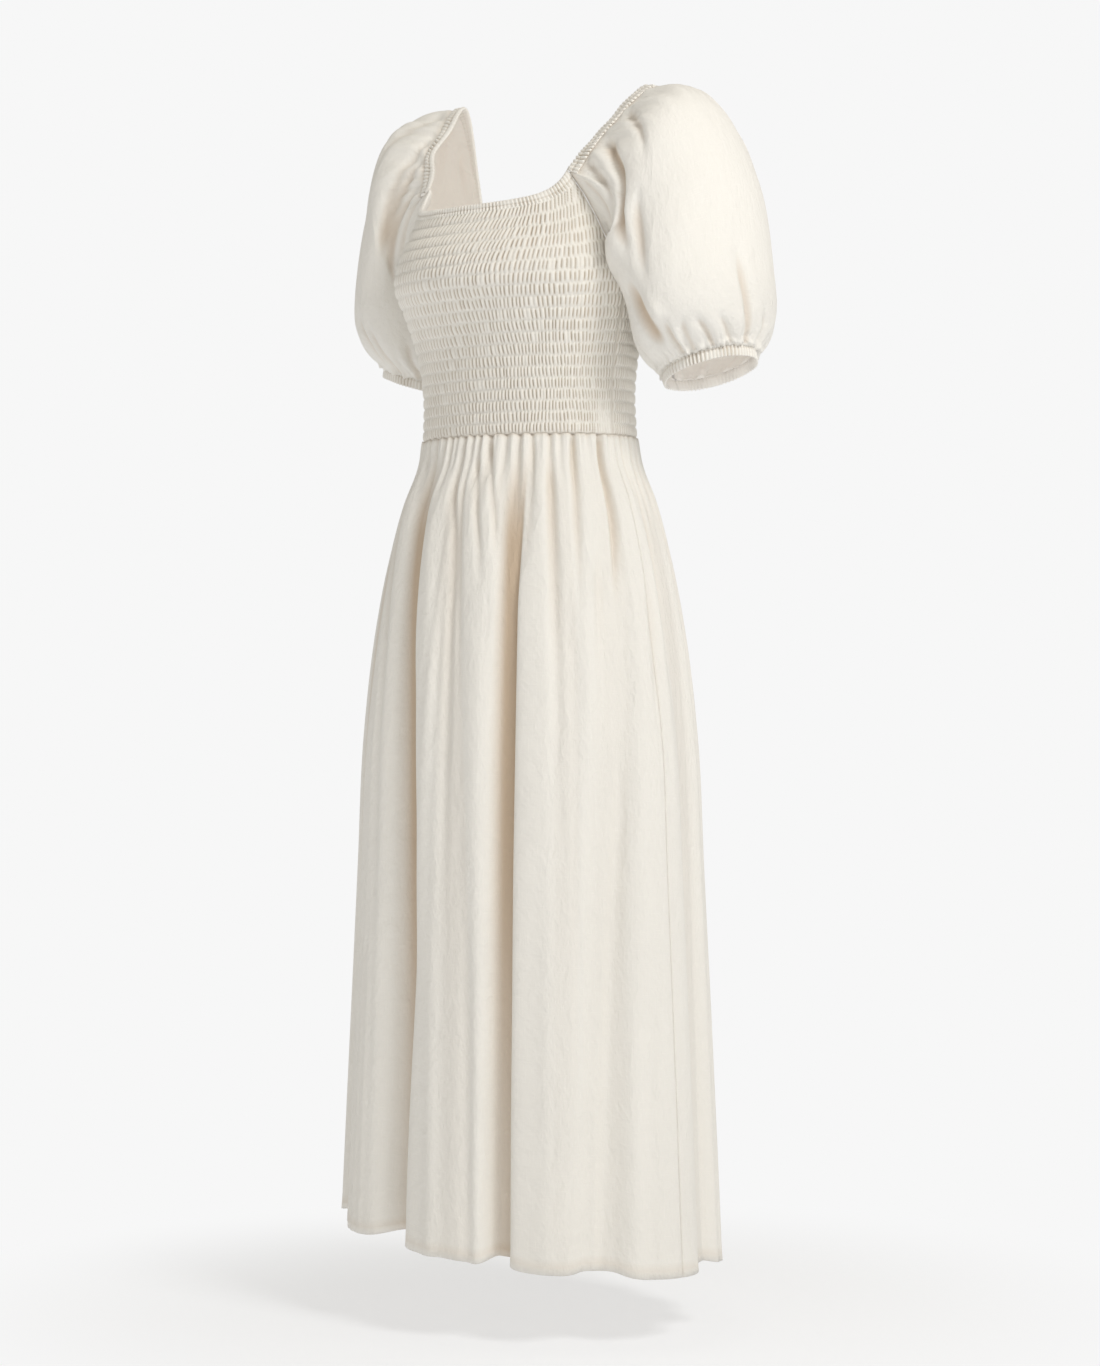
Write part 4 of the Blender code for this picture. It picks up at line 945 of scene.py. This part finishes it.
# Pale floor that passes into plain paper white away from the dress
def makeFloor():
    material = bpy.data.materials.new("paleFloor")
    material.use_nodes = True
    tree = material.node_tree
    shader = tree.nodes["Principled BSDF"]
    shader.inputs["Base Color"].default_value = studio["floorColour"]
    shader.inputs["Roughness"].default_value = 0.9
    shader.inputs["Emission Color"].default_value = (1.0, 1.0, 1.0, 1.0)
    shader.inputs["Emission Strength"].default_value = studio["floorGlow"]
    place = addNode(tree, "ShaderNodeTexCoord").outputs["Object"]
    flat = addNode(tree, "ShaderNodeVectorMath", {0: place, 1: (1.0, 1.0, 0.0)}, operation="MULTIPLY")
    away = addNode(tree, "ShaderNodeVectorMath", {0: flat.outputs[0]}, operation="LENGTH").outputs["Value"]
    reach = {"Value": away, "From Min": studio["fadeFrom"], "From Max": studio["fadeTo"]}
    fade = addNode(tree, "ShaderNodeMapRange", reach, interpolation_type="SMOOTHSTEP").outputs[0]
    paper = addNode(tree, "ShaderNodeEmission", {"Color": studio["paper"]}).outputs[0]
    mixed = addNode(tree, "ShaderNodeMixShader", {0: fade, 1: shader.outputs[0], 2: paper}).outputs[0]
    tree.links.new(mixed, tree.nodes["Material Output"].inputs["Surface"])
    height = cadBox[0][2] - studio["floorDrop"]
    half = studio["floorHalf"]
    corners = [(x * half, y * half, height) for x, y in ((-1, -1), (1, -1), (1, 1), (-1, 1))]
    mesh = bpy.data.meshes.new("floor")
    mesh.from_pydata(corners, [], [(0, 1, 2, 3)])
    mesh.materials.append(material)
    floor = bpy.data.objects.new("floor", mesh)
    bpy.context.scene.collection.objects.link(floor)


# Even white sky that the camera sees as plain paper
def makeSky():
    world = bpy.data.worlds.new("studioSky")
    world.use_nodes = True
    bpy.context.scene.world = world
    tree = world.node_tree
    light = tree.nodes["Background"]
    light.inputs["Color"].default_value = studio["skyColour"]
    light.inputs["Strength"].default_value = studio["skyLight"]
    paper = addNode(tree, "ShaderNodeBackground", {"Color": studio["paper"], "Strength": 1.0})
    seen = addNode(tree, "ShaderNodeLightPath").outputs["Is Camera Ray"]
    mixed = addNode(tree, "ShaderNodeMixShader", {0: seen, 1: light.outputs[0], 2: paper.outputs[0]})
    tree.links.new(mixed.outputs[0], tree.nodes["World Output"].inputs["Surface"])


# Round soft lamp that points at the dress's middle
def addLamp(lamp):
    light = bpy.data.lights.new(lamp["name"], "AREA")
    light.shape = "DISK"
    light.size = lamp["size"]
    light.energy = lamp["power"]
    light.color = lamp["colour"]
    thing = bpy.data.objects.new(lamp["name"], light)
    forward, aside, up = lamp["at"]
    offset = toCamera * forward + toRight * aside + [0, 0, up]
    thing.location = dressMiddle + offset
    way = -offset / np.linalg.norm(offset)
    thing.rotation_euler = (math.acos(-way[2]), 0.0, math.atan2(-way[0], way[1]))
    bpy.context.scene.collection.objects.link(thing)


makeFloor()
makeSky()
for lamp in lamps:
    addLamp(lamp)

camera = bpy.data.objects.new("camera", bpy.data.cameras.new("camera"))
camera.data.sensor_fit = "VERTICAL"
camera.data.sensor_height = 36.0
camera.data.lens = cameraPlace["lens"]
target = np.array([dressMiddle[0], dressMiddle[1], cameraPlace["height"]])
camera.location = target + toCamera * cameraPlace["distance"] + toRight * cameraPlace["aside"]
camera.rotation_euler = (math.radians(90), 0.0, cameraAngle)
bpy.context.scene.collection.objects.link(camera)
bpy.context.scene.camera = camera
bpy.context.scene.view_settings.view_transform = "Standard"
print("stage, lights and camera made")
